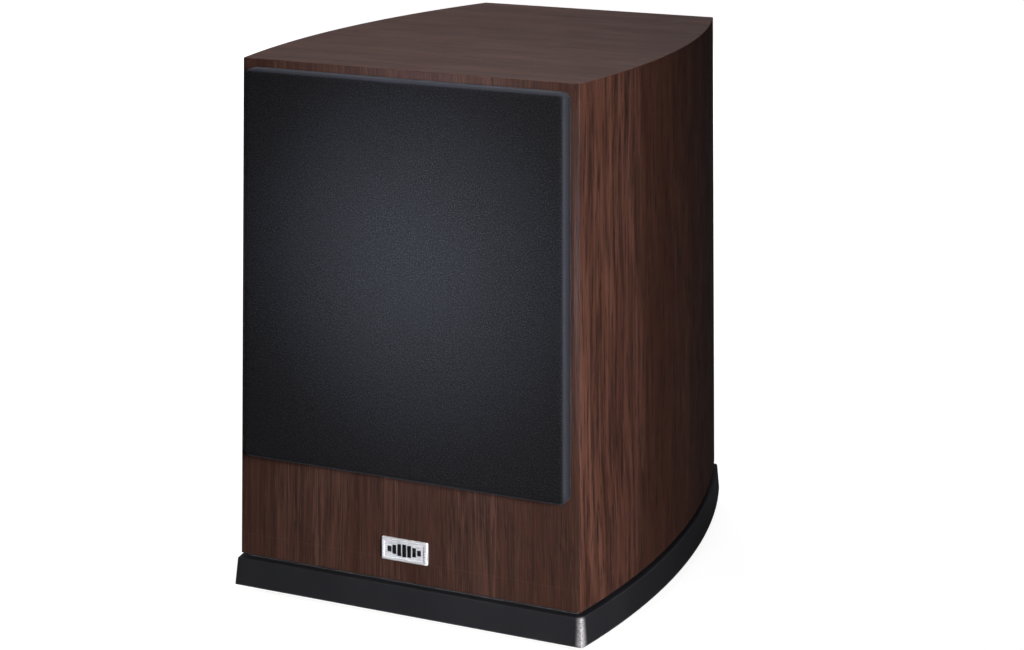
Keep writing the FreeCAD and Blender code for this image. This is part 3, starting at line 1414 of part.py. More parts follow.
def make_sockets():
    """The socket block with its four insulators, and the metal barrels round them."""
    block = place(new_body("rca_block"), "0", PLATE_IN, "rca_z")
    made = sketch(block, "XZ_Plane")
    rectangle(made, "0", "0", "rca_block", "rca_block")
    pad(block, made, "standoff")
    spots = [(x, z.replace("rca_z - amp_z", "0")) for x, z in rca_spots()]
    posts = sketch(block, "XZ_Plane")
    for x, z in spots:
        circle(posts, "rca_inner", x, z)
    pad(block, posts, "plate + rca_collar + rca_reach - rca_sunk", reverse=True)
    pins = sketch(block, "XZ_Plane", "plate + rca_collar + rca_reach")
    for x, z in spots:
        circle(pins, "rca_pin_hole", x, z)
    pocket(block, pins, "plate + rca_reach + standoff / 2", reverse=True)

    shell = loose_body("Barrel")
    revolve(shell, [
        ("rca_inner", "0"),
        ("rca_radius", "0"),
        ("rca_radius", "plate"),
        ("rca_root", "plate"),
        ("rca_root", "plate + rca_collar"),
        ("rca_radius", "plate + rca_collar"),
        ("rca_radius", "plate + rca_collar + rca_reach"),
        ("rca_inner", "plate + rca_collar + rca_reach"),
    ])
    copies("rca_shells", shell, [(x, PLATE_IN, f"amp_z + {z}") for x, z in rca_spots()])


def make_controls():
    """Two potentiometers with their shafts and knobs."""
    bore = "(shaft_radius + shaft_gap)"
    pot = loose_body("Potentiometer")
    revolve(pot, [
        ("0", "-standoff"),
        ("pot_radius", "-standoff"),
        ("pot_radius", "0"),
        ("bush_radius", "0"),
        ("bush_radius", "bush_length"),
        (bore, "bush_length"),
        (bore, "-shaft_root - shaft_gap"),
        ("0", "-shaft_root - shaft_gap"),
    ])
    sides = (("level", 1), ("crossover", -1))
    places = [(f"{side} * knob_x", PLATE_IN, "knob_z") for _, side in sides]
    copies("potentiometers", pot, places)
    for (name, side), spot in zip(sides, places):
        knob_end = "(knob_reach - gasket - plate)"
        shaft = place(new_body(f"{name}_shaft"), *spot)
        revolve(shaft, [
            ("0", "-shaft_root"),
            ("shaft_radius", "-shaft_root"),
            ("shaft_radius", f"plate + {knob_end} - knob_front"),
            ("0", f"plate + {knob_end} - knob_front"),
        ])
        knob = place(new_body(f"{name}_knob"), spot[0], PLATE_OUT, spot[2])
        hollow_end = "(knob_gap + knob_hollow_depth)"
        revolve(knob, [
            ("0", knob_end),
            ("0", f"{knob_end} - knob_front"),
            ("shaft_radius", f"{knob_end} - knob_front"),
            ("shaft_radius", hollow_end),
            ("knob_hollow", hollow_end),
            ("knob_hollow", "knob_gap"),
            ("knob_radius", "knob_gap"),
            ("knob_radius", f"{knob_end} - (knob_radius - knob_face)"),
            ("knob_face", knob_end),
        ])
        flute = circle(sketch(knob, "XZ_Plane"), "flute_radius", "knob_radius + flute_radius / 3")
        around(knob, pocket(knob, flute), "Y_Axis", "knob_flutes")
        pointer = sketch(knob, "XZ_Plane", knob_end)
        rectangle(pointer, "0", "knob_face * 0.6", "pointer_width", "knob_face * 0.6")
        pocket(knob, pointer, "pointer_depth", reverse=True)


def make_slide_switches():
    """Two housings behind the face plate, each with a slider whose nub stands through it."""
    housings = []
    for name, side, travel, start in (
        ("phase", 1, "phase_travel", "-phase_travel / 2"), ("mode", -1, "mode_travel", "0")
    ):
        centre = f"{side} * switch_x"
        channel = f"(slider_length + {travel} + 2 * slide_gap)"
        case = box(
            centre, f"{PCB_OUT} + standoff / 2", "switch_z - switch_height / 2",
            f"{channel} + 2 * switch_wall", "standoff", "switch_height",
        )
        slot = box(
            centre, f"{PLATE_IN} - channel_depth / 2", "switch_z - channel_height / 2",
            channel, "channel_depth", "channel_height",
        )
        housings.append(cut(case, slot))
        spot = f"{centre} + ({start})"
        foot = box(
            spot, f"{PLATE_IN} - hole_gap - slider_foot / 2", "switch_z - slider_height / 2",
            "slider_length", "slider_foot", "slider_height",
        )
        reach = "(hole_gap + slider_foot + plate + nub_reach)"
        nub = box(
            spot, f"{PLATE_OUT} + nub_reach - {reach} / 2", "switch_z - nub_width / 2",
            "nub_width", reach, "nub_width",
        )
        keep(fuse(foot, nub), f"{name}_slider")
    group("slide_switch_bodies", housings)


def make_status_led():
    body = place(new_body("status_led"), "0", PLATE_IN, "switch_z")
    crest = "(plate + led_reach)"
    lean = "led_radius * sqrt(0.5)"
    revolve(body, [
        ("0", "-standoff"),
        ("led_radius", "-standoff"),
        ("led_radius", f"{crest} - led_radius"),
        ("0", crest, lean, f"{crest} - led_radius + {lean}"),
    ])


def make_rocker():
    housing = place(new_body("rocker_housing"), "rocker_x", PLATE_OUT, "inlet_z")
    plan = lambda made, width, height: rounded_rectangle(
        made, "0", "0", width, height, "bezel_corner"
    )
    rim = "2 * rocker_rim"
    made = plan(sketch(housing, "XZ_Plane"), f"{HOUSING_WIDTH} + {rim}", f"{HOUSING_HEIGHT} + {rim}")
    pad(housing, made, "bezel", reverse=True)
    made = rectangle(sketch(housing, "XZ_Plane"), "0", "0", HOUSING_WIDTH, HOUSING_HEIGHT)
    pad(housing, made, "rocker_depth")
    cavity = sketch(housing, "XZ_Plane", "bezel")
    walls = "2 * rocker_wall"
    rectangle(cavity, "0", "0", f"{HOUSING_WIDTH} - {walls}", f"{HOUSING_HEIGHT} - {walls}")
    pocket(housing, cavity, "bezel + rocker_cavity", reverse=True)
    half_pins = "(rocker_width / 2 + rocker_pin_length + rocker_pin_gap)"
    bearing = sketch(housing, "YZ_Plane", f"-{half_pins}")
    circle(bearing, "rocker_pin + rocker_pin_gap", "-rocker_pivot", "0")
    pocket(housing, bearing, f"2 * {half_pins}", reverse=True)

    rocker = place(new_body("power_rocker"), "rocker_x", f"{PLATE_OUT} - rocker_pivot", "inlet_z")
    end_z = lambda y: f"sqrt(rocker_arm ^ 2 - {y} ^ 2)"
    crest, root = "rocker_crest", "rocker_root"
    profile = outline(sketch(rocker, "YZ_Plane"), [
        ("rocker_valley", "0"),
        (crest, end_z(crest)),
        (f"-{root}", end_z(root), "0", "rocker_arm"),
        (f"-{root}", f"-{end_z(root)}"),
        (crest, f"-{end_z(crest)}", "0", "-rocker_arm"),
    ])
    pad(rocker, profile, "rocker_width", both_ways=True)
    pins = circle(sketch(rocker, "YZ_Plane"), "rocker_pin")
    pad(rocker, pins, "rocker_width + 2 * rocker_pin_length", both_ways=True)
    rocker.Placement.Rotation = FreeCAD.Rotation(Vector(1, 0, 0), -1)
    rocker.setExpression("Placement.Rotation.Angle", bound("rocker_tilt"))


def prong_spots():
    low, high = "-socket_drop - prong_step", "-socket_drop + prong_step"
    return [("-prong_pitch", low), ("prong_pitch", low), ("0", high)]


def make_mains_inlet():
    body = place(new_body("mains_inlet"), "inlet_x", PLATE_OUT, "inlet_z")
    made = sketch(body, "XZ_Plane")
    rounded_rectangle(
        made, "0", "0", "inlet_bezel_width", "inlet_bezel_height", "bezel_corner"
    )
    pad(body, made, "bezel", reverse=True)
    made = rectangle(sketch(body, "XZ_Plane"), "0", "0", "inlet_width", "inlet_height")
    pad(body, made, "inlet_depth")

    half, low = "socket_width / 2", "(-socket_drop - socket_height / 2)"
    high = "(-socket_drop + socket_height / 2)"
    recess = outline(sketch(body, "XZ_Plane", "bezel"), [
        (f"-{half}", low),
        (half, low),
        (half, f"{high} - socket_bevel"),
        (f"{half} - socket_bevel", high),
        (f"socket_bevel - {half}", high),
        (f"-{half}", f"{high} - socket_bevel"),
    ])
    pocket(body, recess, "socket_depth", reverse=True)
    bay = rectangle(sketch(body, "XZ_Plane", "bezel"), "0", "bay_rise", "bay_width", "bay_height")
    pocket(body, bay, "bay_depth", reverse=True)
    slots = sketch(body, "XZ_Plane")
    for x, z in prong_spots():
        rectangle(slots, x, z, "prong_width", "prong_height")
    pocket(body, slots)

    length = "(inlet_depth + prong_tail - prong_recess)"
    group("inlet_pins", [
        box(f"inlet_x + {x}", f"{PLATE_OUT} - prong_recess - {length} / 2",
            f"inlet_z + {z} - prong_height / 2", "prong_width", length, "prong_height")
        for x, z in prong_spots()
    ])


def make_fuse_and_drawer():
    centre_z = "(inlet_z + bay_rise)"
    tray_height = "(bay_height - 2 * drawer_gap)"
    tray_low = f"{centre_z} - {tray_height} / 2"
    face = f"({PLATE_OUT} + bezel)"
    tray = box(
        "inlet_x", f"{face} - drawer_depth / 2", tray_low,
        "bay_width - 2 * drawer_gap", "drawer_depth", tray_height,
    )
    lip = box(
        "inlet_x", f"{face} + drawer_lip / 2", f"{centre_z} - drawer_lip_height / 2",
        "drawer_lip_width", "drawer_lip", "drawer_lip_height",
    )
    fuse_y = f"({face} - drawer_depth / 2)"
    trough = box(
        "inlet_x", fuse_y, f"{tray_low} + fuse_floor",
        "fuse_length", "2 * fuse_radius", tray_height,
    )
    notch = box(
        "inlet_x", f"{face} + drawer_lip", f"{centre_z} - drawer_lip_height / 2",
        "drawer_notch", "drawer_lip", "drawer_lip_height / 3",
    )
    keep(cut(fuse(tray, lip), trough, notch), "fuse_drawer")

    left = "(inlet_x - fuse_length / 2)"
    fuse_z = f"{tray_low} + fuse_floor + fuse_radius"
    glass = rod(
        "fuse_glass", f"{left} + fuse_cap", fuse_y, fuse_z, "fuse_length - 2 * fuse_cap", "X"
    )
    caps = [
        rod("fuse_radius", x, fuse_y, fuse_z, "fuse_cap", "X")
        for x in (left, f"{left} + fuse_length - fuse_cap")
    ]
    group("fuse", [glass, *caps])


# ---------------------------------------------------------------- build and export


def export():
    """Checks every object and piece, then writes one STEP file per piece."""
    doc.recompute()
    for thing in doc.Objects:
        if {"Invalid", "Error"} & set(thing.State):
            raise RuntimeError(f"{thing.Label} ({thing.Name}) is in state {thing.State}")
    for piece in pieces:
        if piece.Shape.isNull() or not piece.Shape.isValid() or not piece.Shape.Solids:
            raise RuntimeError(f"{piece.Label} has no valid shape")
    os.makedirs("parts", exist_ok=True)
    for piece in pieces:
        piece.Shape.exportStep(f"parts/{piece.Label}.step")
        print(f"{piece.Label}: {len(piece.Shape.Solids)} solid, {piece.Shape.Volume:.1f} mm3")


def build():
    fill_sheet()
    make_front_baffle()
    make_side_panels()
    make_top_and_bottom_panels()
    make_back_panel()
    make_internal_brace()
    make_wadding()
    make_plinth()
    make_feet()
    make_plinth_and_port_screws()
    make_bass_reflex_tube()
    make_badge()
    make_grille()
    make_pegs_and_cups()
    make_basket()
    make_magnet_system()
    make_moving_assembly()
    make_surround()
    make_trim_ring()
    make_spider()
    make_terminal_board()
    make_wires()
    make_woofer_screws()
    make_gasket()
    make_faceplate()
    make_amp_screws()
    make_amp_board()
    make_transformer()
    make_sockets()
    make_controls()
    make_slide_switches()
    make_status_led()
    make_rocker()
    make_mains_inlet()
    make_fuse_and_drawer()
    export()


build()
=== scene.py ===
import math

import bmesh
import bpy
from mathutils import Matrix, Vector


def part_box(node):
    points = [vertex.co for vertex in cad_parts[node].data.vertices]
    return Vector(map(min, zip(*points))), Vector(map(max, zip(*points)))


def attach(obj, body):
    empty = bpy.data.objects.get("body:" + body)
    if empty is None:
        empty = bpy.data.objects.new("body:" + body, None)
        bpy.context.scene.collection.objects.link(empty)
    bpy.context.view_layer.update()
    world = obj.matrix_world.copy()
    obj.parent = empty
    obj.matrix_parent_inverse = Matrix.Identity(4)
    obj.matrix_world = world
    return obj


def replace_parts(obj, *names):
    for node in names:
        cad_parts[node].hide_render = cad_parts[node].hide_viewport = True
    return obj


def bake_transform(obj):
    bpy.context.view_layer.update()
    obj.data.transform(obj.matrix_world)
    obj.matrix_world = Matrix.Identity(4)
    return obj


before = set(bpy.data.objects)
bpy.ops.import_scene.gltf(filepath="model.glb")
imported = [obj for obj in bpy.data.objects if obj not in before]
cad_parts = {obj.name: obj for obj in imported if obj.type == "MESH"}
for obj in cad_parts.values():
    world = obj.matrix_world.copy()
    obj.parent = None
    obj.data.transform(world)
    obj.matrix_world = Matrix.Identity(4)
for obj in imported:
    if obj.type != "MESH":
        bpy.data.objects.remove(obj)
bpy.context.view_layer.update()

MM = 0.001
CABINET = "cabinet"
SHEET = "sheet"  # the vertex attribute that holds where each point lay on the flat cloth


def middle(node):
    """The centre of a CAD node's box, in metres."""
    low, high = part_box(node)
    return (low + high) / 2


# The woofer's axis, and the planes that most pieces are measured from.
AXIS_Z = middle("woofer_basket").z
FRONT_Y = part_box("front_baffle")[0].y
BACK_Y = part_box("back_panel")[1].y
PLATE_Y = BACK_Y + 3 * MM
CABINET_MIDDLE = (0, 0, (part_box("bottom_panel")[0].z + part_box("top_panel")[1].z) / 2)


# ---------------------------------------------------------------- materials


class Paint:
    """A material's node tree, with short ways to add nodes and join them."""

    def __init__(self, name, **surface):
        self.material = bpy.data.materials.new(name)
        self.material.use_nodes = True
        self.tree = self.material.node_tree
        self.surface = self.tree.nodes["Principled BSDF"]
        self.set(self.surface, surface)

    def feed(self, socket, value):
        """Links a socket to another node's output, or sets its own value."""
        if isinstance(value, bpy.types.NodeSocket):
            self.tree.links.new(value, socket)
        elif socket.type == "RGBA" and len(value) == 3:
            socket.default_value = (*value, 1)
        else:
            socket.default_value = value

    def set(self, node, values):
        """Feeds a node's inputs by name; underscores stand for the spaces in their labels."""
        for name, value in values.items():
            label = name.replace("_", " ")
            self.feed(next(s for s in node.inputs if s.name == label and s.enabled), value)

    def add(self, kind, output=0, settings=None, inputs=(), **values):
        """Adds a node, feeds its inputs in order or by name, and gives back one of its outputs."""
        node = self.tree.nodes.new("ShaderNode" + kind)
        for name, value in (settings or {}).items():
            setattr(node, name, value)
        for socket, value in zip(node.inputs, inputs):
            self.feed(socket, value)
        self.set(node, values)
        return node.outputs[output]

    def math(self, operation, a, b=0.0):
        return self.add("Math", 0, {"operation": operation}, (a, b))

    def vector_math(self, operation, *inputs, output=0):
        return self.add("VectorMath", output, {"operation": operation}, inputs)

    def split(self, vector):
        """The X, Y and Z of a vector."""
        return self.add("SeparateXYZ", inputs=(vector,)).node.outputs

    def here(self):
        """The place on the object, in metres."""
        return self.add("TexCoord", "Object")

    def spot(self, scale=(1, 1, 1), source=None):
        """The place on the object, stretched by scale."""
        return self.add("Mapping", Vector=source or self.here(), Scale=scale)

    def noise(self, vector, scale, detail=4.0, roughness=0.55):
        """Cloudy noise; scale is about how many of its features fit in a metre."""
        return self.add("TexNoise", "Fac", Vector=vector, Scale=scale, Detail=detail,
                        Roughness=roughness)

    def grain(self, vector, scale, stretch, detail, roughness=0.6):
        """Noise drawn out along Z, as wood's grain is. A smaller stretch makes longer streaks."""
        return self.noise(self.spot((1, 1, stretch), vector), scale, detail, roughness)

    def span(self, value, low, high, new_low=0.0, new_high=1.0):
        """Maps low..high smoothly onto new_low..new_high."""
        return self.add("MapRange", 0, {"interpolation_type": "SMOOTHSTEP"},
                        (value, low, high, new_low, new_high))

    def mix(self, share, a, b, blend="MIX"):
        """Colour a, with colour b laid over it by share."""
        node = self.add("Mix", 2, {"data_type": "RGBA", "blend_type": blend}).node
        for index, value in ((0, share), (6, a), (7, b)):
            self.feed(node.inputs[index], value)
        return node.outputs[2]

    def bump(self, height, depth):
        """Gives the surface relief: height 0..1 stands for depth metres."""
        self.set(self.surface, {"Normal": self.add("Bump", Height=height, Distance=depth)})

    def edges(self, radius):
        """1 on worn outer edges and 0 elsewhere, from how far a bevelled normal turns."""
        rounded = self.add("Bevel", settings={"samples": 6}, Radius=radius)
        flat = self.add("NewGeometry", "Normal")
        return self.span(self.vector_math("DOT_PRODUCT", rounded, flat, output=1), 0.995, 0.86)


BARE_BOARD = ((0.36, 0.24, 0.14), (0.50, 0.36, 0.23))
WOOD = {
    "dark": (0.013, 0.0056, 0.0042), "shade": (0.030, 0.0125, 0.0090),
    "board": (0.038, 0.0145, 0.0095), "mid": (0.072, 0.0318, 0.0228),
    "light": (0.122, 0.061, 0.045), "fleck": (0.130, 0.070, 0.045),
    # the first colour on the next line is painted light, laid over the top and bottom faces
    "bloom_and_top_light": (0.150, 0.098, 0.088), "worn": (0.15, 0.10, 0.08),
}
# the tints multiply each face's colour; the front tint, used on the front and back, is painted
# shade
FRONT_TINT, SIDE_TINT, TOP_TINT = (0.87, 0.86, 0.87), (0.98, 0.86, 0.81), (1, 1, 1)


def veneer():
    """Dark brown veneer. Its grain runs up the sides and across the top."""
    p = Paint("dark_veneer", IOR=1.48, Specular_IOR_Level=0.34)
    here = p.here()
    x, y, z = p.split(here)
    facing = p.split(p.add("NewGeometry", "True Normal"))
    level = p.math("GREATER_THAN", p.math("ABSOLUTE", facing[2]), 0.6)  # 1 on top and bottom
    sideways = p.math("GREATER_THAN", p.math("ABSOLUTE", facing[0]), 0.7)  # 1 on the two sides

    # each face wears its own sheet of veneer: the figure is broadest on the top, and broader on
    # the sides than on the front, and it doesn't run on round a corner
    top_x, top_y, top_place, side_y, side_place = 0.35, 0.20, 0.31, 0.42, 0.37
    across = p.add("CombineXYZ", X=p.math("MULTIPLY", y, top_y), Y=top_place,
                   Z=p.math("MULTIPLY", x, top_x))
    broad = p.math("MULTIPLY", y, p.span(sideways, 0, 1, 1.0, side_y))
    own_sheet = p.math("ADD", x, p.math("MULTIPLY", sideways, side_place))
    upright = p.add("CombineXYZ", X=own_sheet, Y=broad, Z=z)
    sheet = p.mix(level, upright, across)
    # the grain sways to and fro a little as it runs
    wobble = p.noise(p.spot((1, 1, 0.25), sheet), 9, 2)
    sway = p.add("CombineXYZ", X=wobble, Y=wobble, Z=0.0)
    bent = p.vector_math("MULTIPLY_ADD", sway, (12 * MM, 12 * MM, 0), sheet)

    boards = p.grain(bent, 21, 0.015, 1, 0.4)
    bands = p.grain(bent, 105, 0.03, 3)
    streaks = p.grain(bent, 340, 0.016, 3)
    lines = p.grain(bent, 800, 0.012, 4, 0.7)
    pore = p.span(p.grain(bent, 1150, 0.024, 3, 0.65), 0.52, 0.66)
    fleck = p.span(p.grain(bent, 980, 0.04, 3), 0.55, 0.72)

    # the bands show least on the front and most on the top
    banding = p.math("ADD", p.math("MULTIPLY", sideways, 0.35), p.math("MULTIPLY", level, 0.5))
    banding = p.math("MULTIPLY", p.span(bands, 0.38, 0.62), p.math("ADD", banding, 0.3))
    color = p.mix(banding, WOOD["mid"], WOOD["light"])
    color = p.mix(p.span(streaks, 0.44, 0.60, 0.0, 0.55), color, WOOD["shade"])
    color = p.mix(p.span(lines, 0.47, 0.60, 0.0, 0.75), color, WOOD["dark"])
    color = p.mix(p.span(boards, 0.42, 0.56, 0.0, 0.6), color, WOOD["board"])
    color = p.mix(p.math("MULTIPLY", fleck, 0.35), color, WOOD["fleck"])
    color = p.mix(p.math("MULTIPLY", pore, 0.80), color, WOOD["dark"])
    # each face's tone is set to match the reference, with light and shade painted in: the top and
    # bottom are made paler as painted light, the front and back are darkened as painted shade, and
    # the sides are redder than the front and back
    color = p.mix(p.math("MULTIPLY", level, 0.22), color, WOOD["bloom_and_top_light"])
    tint = p.mix(level, p.mix(sideways, FRONT_TINT, SIDE_TINT), TOP_TINT)
    color = p.mix(1.0, color, tint, "MULTIPLY")
    color = p.mix(p.math("MULTIPLY", p.edges(0.9 * MM), 0.12), color, WOOD["worn"])

    # only the cabinet's outer faces are veneered: inner faces and holes show the bare board
    from_middle = p.vector_math("SUBTRACT", here, CABINET_MIDDLE)
    true_normal = p.add("NewGeometry", "True Normal")
    outward = p.vector_math("DOT_PRODUCT", from_middle, true_normal, output=1)
    bare = p.mix(p.span(p.noise(p.spot(), 900, 4), 0.35, 0.65), *BARE_BOARD)
    color = p.mix(p.math("GREATER_THAN", outward, 0.0), bare, color)
    dust = p.noise(p.spot(), 30, 6)
    rough = p.math("ADD", p.span(dust, 0.3, 0.7, 0.46, 0.56), p.math("MULTIPLY", pore, 0.12))
    p.set(p.surface, {"Base Color": color, "Roughness": rough})
    relief = p.math("SUBTRACT", p.math("MULTIPLY", lines, 0.35), p.math("MULTIPLY", pore, 0.65))
    p.bump(relief, 0.12 * MM)
    return p.material


def fibreboard():
    p = Paint("bare_board", Roughness=0.85)
    flecks = p.noise(p.spot(), 900, 4)
    clouds = p.noise(p.spot(), 14, 3)
    color = p.mix(p.span(flecks, 0.35, 0.65), *BARE_BOARD)
    color = p.mix(p.span(clouds, 0.3, 0.7, 0, 0.3), color, (0.40, 0.26, 0.15))
    p.set(p.surface, {"Base Color": color})
    p.bump(flecks, 0.15 * MM)
    return p.material


def grille_fabric():
    """A tight knit: rows of fine loops, a little fuzz, and a sheen at grazing angles."""
    p = Paint("grille_fabric", Roughness=0.78, Sheen_Weight=0.07, Sheen_Roughness=0.3,
              Sheen_Tint=(0.62, 0.68, 0.85), Specular_IOR_Level=0.16)
    flat = p.add("Attribute", "Vector", settings={"attribute_name": SHEET})
    loops = p.add("TexVoronoi", "Distance", Vector=flat, Scale=1300.0, Randomness=0.6)
    speckle = p.noise(flat, 900, 3, 0.7)
    threads = p.noise(p.spot((0.25, 1, 1), flat), 620, 3, 0.6)
    clouds = p.noise(flat, 22, 4)
    color = p.mix(p.span(loops, 0.15, 0.6), (0.0093, 0.0099, 0.0122), (0.0012, 0.0013, 0.0018))
    color = p.mix(p.span(speckle, 0.50, 0.66, 0, 0.75), color, (0.026, 0.027, 0.033))
    color = p.mix(p.span(threads, 0.52, 0.75, 0, 0.4), color, (0.002, 0.002, 0.003))
    color = p.mix(p.span(clouds, 0.35, 0.7, 0, 0.25), color, (0.005, 0.0053, 0.007))
    # where the cloth is pulled round the frame it is stretched thin and paler; the paler band is
    # also a painted highlight along the folded rim
    places = p.split(flat)
    low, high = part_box("grille_cloth")
    rims = []
    for place, length in ((places[0], high.x - low.x), (places[1], high.z - low.z)):
        past_edge = p.math("SUBTRACT", p.math("ABSOLUTE", place), length / 2)
        rise = p.span(past_edge, -2.8 * MM, -0.4 * MM)
        rims.append(p.math("MULTIPLY", rise, p.span(past_edge, 3 * MM, 11 * MM, 1, 0)))
    rim = p.math("MAXIMUM", *rims)
    color = p.mix(p.math("MULTIPLY", rim, 0.6), color, (0.040, 0.044, 0.058))
    p.set(p.surface, {"Base Color": color})
    relief = p.math("ADD", p.math("MULTIPLY", loops, -0.7), p.math("MULTIPLY", speckle, 0.5))
    p.bump(relief, 0.25 * MM)
    return p.material


def moulded(name, color, rough, grain=1500.0, depth=0.05, wear=(0.10, 0.10, 0.11)):
    """A moulded plastic or a coated metal: fine texture, faint smears and paler edges."""
    p = Paint(name, IOR=1.5)
    fine = p.noise(p.spot(), grain, 3)
    smears = p.noise(p.spot((1, 1, 0.6)), 26, 5)
    shade = tuple(1.45 * c + 0.003 for c in color)
    tone = p.mix(p.span(smears, 0.35, 0.7, 0, 0.55), color, shade)
    tone = p.mix(p.math("MULTIPLY", p.span(fine, 0.5, 0.75), 0.3), tone, shade)
    tone = p.mix(p.math("MULTIPLY", p.edges(0.5 * MM), 0.30), tone, wear)
    roughness = p.span(smears, 0.3, 0.75, rough - 0.05, rough + 0.07)
    p.set(p.surface, {"Base Color": tone, "Roughness": roughness})
    p.bump(fine, depth * MM)
    return p.material


def metal(name, color, rough, brushed=(1, 1, 1), depth=0.01, grain=900.0):
    """A metal with fine brushing or casting texture and a few dull patches."""
    p = Paint(name, Metallic=1.0)
    lines = p.noise(p.spot(brushed), grain, 4)
    patches = p.noise(p.spot(), 60, 5)
    dull = tuple(0.72 * c for c in color)
    tone = p.mix(p.span(patches, 0.45, 0.7, 0, 0.6), color, dull)
    tone = p.mix(p.math("MULTIPLY", p.span(lines, 0.5, 0.7), 0.25), tone, dull)
    p.set(p.surface, {"Base Color": tone,
                      "Roughness": p.span(lines, 0.3, 0.7, rough - 0.06, rough + 0.08)})
    p.bump(lines, depth * MM)
    return p.material


def satin_black():
    """The plinth's textured black finish, with painted highlights: glints along its rounded edges
    and a bright front right corner.
    """
    p = Paint("satin_plinth", IOR=1.5)
    fine = p.noise(p.spot(), 1300, 3)
    smears = p.noise(p.spot((1, 1, 0.6)), 26, 5)
    glints = p.span(p.noise(p.spot(), 1000, 2, 0.7), 0.35, 0.6, 0.35, 1.0)
    tone = p.mix(p.span(smears, 0.35, 0.7, 0, 0.55), (0.0138, 0.0147, 0.0178),
                 (0.0185, 0.0196, 0.0235))
    # the front right corner has a highlight painted on, where the reference's light catches it:
    # it stays there whatever lights the object
    corner_x, corner_y, fade = 150.5 * MM, -190 * MM, 6 * MM
    x, y, _ = p.split(p.here())
    outward = p.span(x, corner_x - fade, corner_x)
    corner = p.math("MULTIPLY", outward, p.span(y, corner_y + fade, corner_y))
    # a faint painted highlight, in glints, along every rounded edge
    edge = p.math("MULTIPLY", p.edges(1.6 * MM), p.math("MULTIPLY", glints, 0.22))
    edge = p.math("MAXIMUM", edge, p.math("MULTIPLY", corner, glints))
    tone = p.mix(edge, tone, (0.46, 0.46, 0.49))
    p.set(p.surface, {"Base Color": tone, "Roughness": p.span(smears, 0.3, 0.75, 0.30, 0.40)})
    p.bump(fine, 0.08 * MM)
    return p.material


def badge_metal():
    """Satin metal, barely brushed, with polished bevels."""
    p = Paint("badge_metal", Metallic=0.30)
    lines = p.noise(p.spot((0.05, 1, 1)), 2600, 3)
    haze = p.noise(p.spot(), 160, 3)
    tone = p.mix(p.span(haze, 0.4, 0.7, 0, 0.5), (0.72, 0.76, 0.82), (0.62, 0.66, 0.72))
    p.set(p.surface, {"Base Color": p.mix(p.edges(0.6 * MM), tone, (0.98, 0.98, 0.98)),
                      "Roughness": p.span(lines, 0.3, 0.7, 0.24, 0.32)})
    p.bump(lines, 0.0005 * MM)
    return p.material


def rubber():
    p = Paint("black_rubber", Roughness=0.62, IOR=1.5)
    fine = p.noise(p.spot(), 1100, 4)
    bloom_and_top_light = p.noise(p.spot(), 38, 4)
    tone = p.mix(p.span(bloom_and_top_light, 0.4, 0.75, 0, 0.5), (0.013, 0.013, 0.014), (0.034, 0.034, 0.035))
    p.set(p.surface, {"Base Color": tone, "Roughness": p.span(bloom_and_top_light, 0.3, 0.7, 0.5, 0.7)})
    p.bump(fine, 0.04 * MM)
    return p.material


def foam():
    p = Paint("cell_foam", Roughness=0.95)
    cells = p.add("TexVoronoi", "Distance", Vector=p.spot(), Scale=1500.0)
    tone = p.mix(p.span(cells, 0.1, 0.6), (0.05, 0.05, 0.052), (0.012, 0.012, 0.013))
    p.set(p.surface, {"Base Color": tone})
    p.bump(cells, 0.2 * MM)
    return p.material


def fluff():
    """Polyester wadding: pale tangled fibres."""
    p = Paint("wadding_fibre", Roughness=0.95, Sheen_Weight=0.5)
    strands = p.noise(p.spot((1, 1, 0.2)), 700, 6, 0.75)
    lumps = p.noise(p.spot(), 45, 4)
    tone = p.mix(p.span(strands, 0.4, 0.6), (0.52, 0.52, 0.50), (0.82, 0.82, 0.80))
    tone = p.mix(p.span(lumps, 0.4, 0.7, 0, 0.4), tone, (0.60, 0.60, 0.57))
    p.set(p.surface, {"Base Color": tone})
    p.bump(strands, 0.8 * MM)
    return p.material


def woven(name, dark, light):
    """Treated cotton, as in a spider: a plain weave under resin."""
    p = Paint(name, Roughness=0.7)
    warp, weft = (p.add("TexWave", "Fac", settings={"bands_direction": axis}, Vector=p.here(),
                        Scale=320.0, Distortion=1.5) for axis in "XZ")
    cross = p.math("MULTIPLY", warp, weft)
    stain = p.noise(p.spot(), 60, 4)
    tone = p.mix(cross, dark, light)
    tone = p.mix(p.span(stain, 0.4, 0.7, 0, 0.5), tone, dark)
    p.set(p.surface, {"Base Color": tone})
    p.bump(cross, 0.15 * MM)
    return p.material


def pair(name, first, second, choice, rough=0.4):
    """Two colours for the pieces of one node. choice(p) gives 0 for the first, 1 for the second."""
    p = Paint(name, Roughness=rough, IOR=1.5)
    fine = p.noise(p.spot(), 1200, 3)
    tone = p.mix(choice(p), first, second)
    tone = p.mix(p.span(fine, 0.5, 0.8, 0, 0.3), tone, tuple(0.6 * c for c in first))
    p.set(p.surface, {"Base Color": tone})
    p.bump(fine, 0.02 * MM)
    return p.material


def right_half(p):
    return p.math("GREATER_THAN", p.split(p.here())[0], 0.0)


def either_solid(p):
    return p.math("GREATER_THAN", p.add("NewGeometry", "Random Per Island"), 0.5)


def circuit_board():
    """Green resist with faint tracks under it."""
    p = Paint("circuit_board", Roughness=0.38, IOR=1.5)
    flat = p.add("Mapping", Vector=p.here(), Rotation=(math.radians(90), 0, 0))
    tracks = p.add("TexBrick", "Fac", Vector=flat, Scale=90.0, Mortar_Size=0.06)
    weave = p.noise(p.spot(), 700, 3)
    tone = p.mix(p.math("MULTIPLY", tracks, 0.6), (0.016, 0.075, 0.032), (0.035, 0.15, 0.06))
    tone = p.mix(p.span(weave, 0.5, 0.8, 0, 0.4), tone, (0.010, 0.05, 0.02))
    p.set(p.surface, {"Base Color": tone})
    p.bump(tracks, 0.03 * MM)
    return p.material


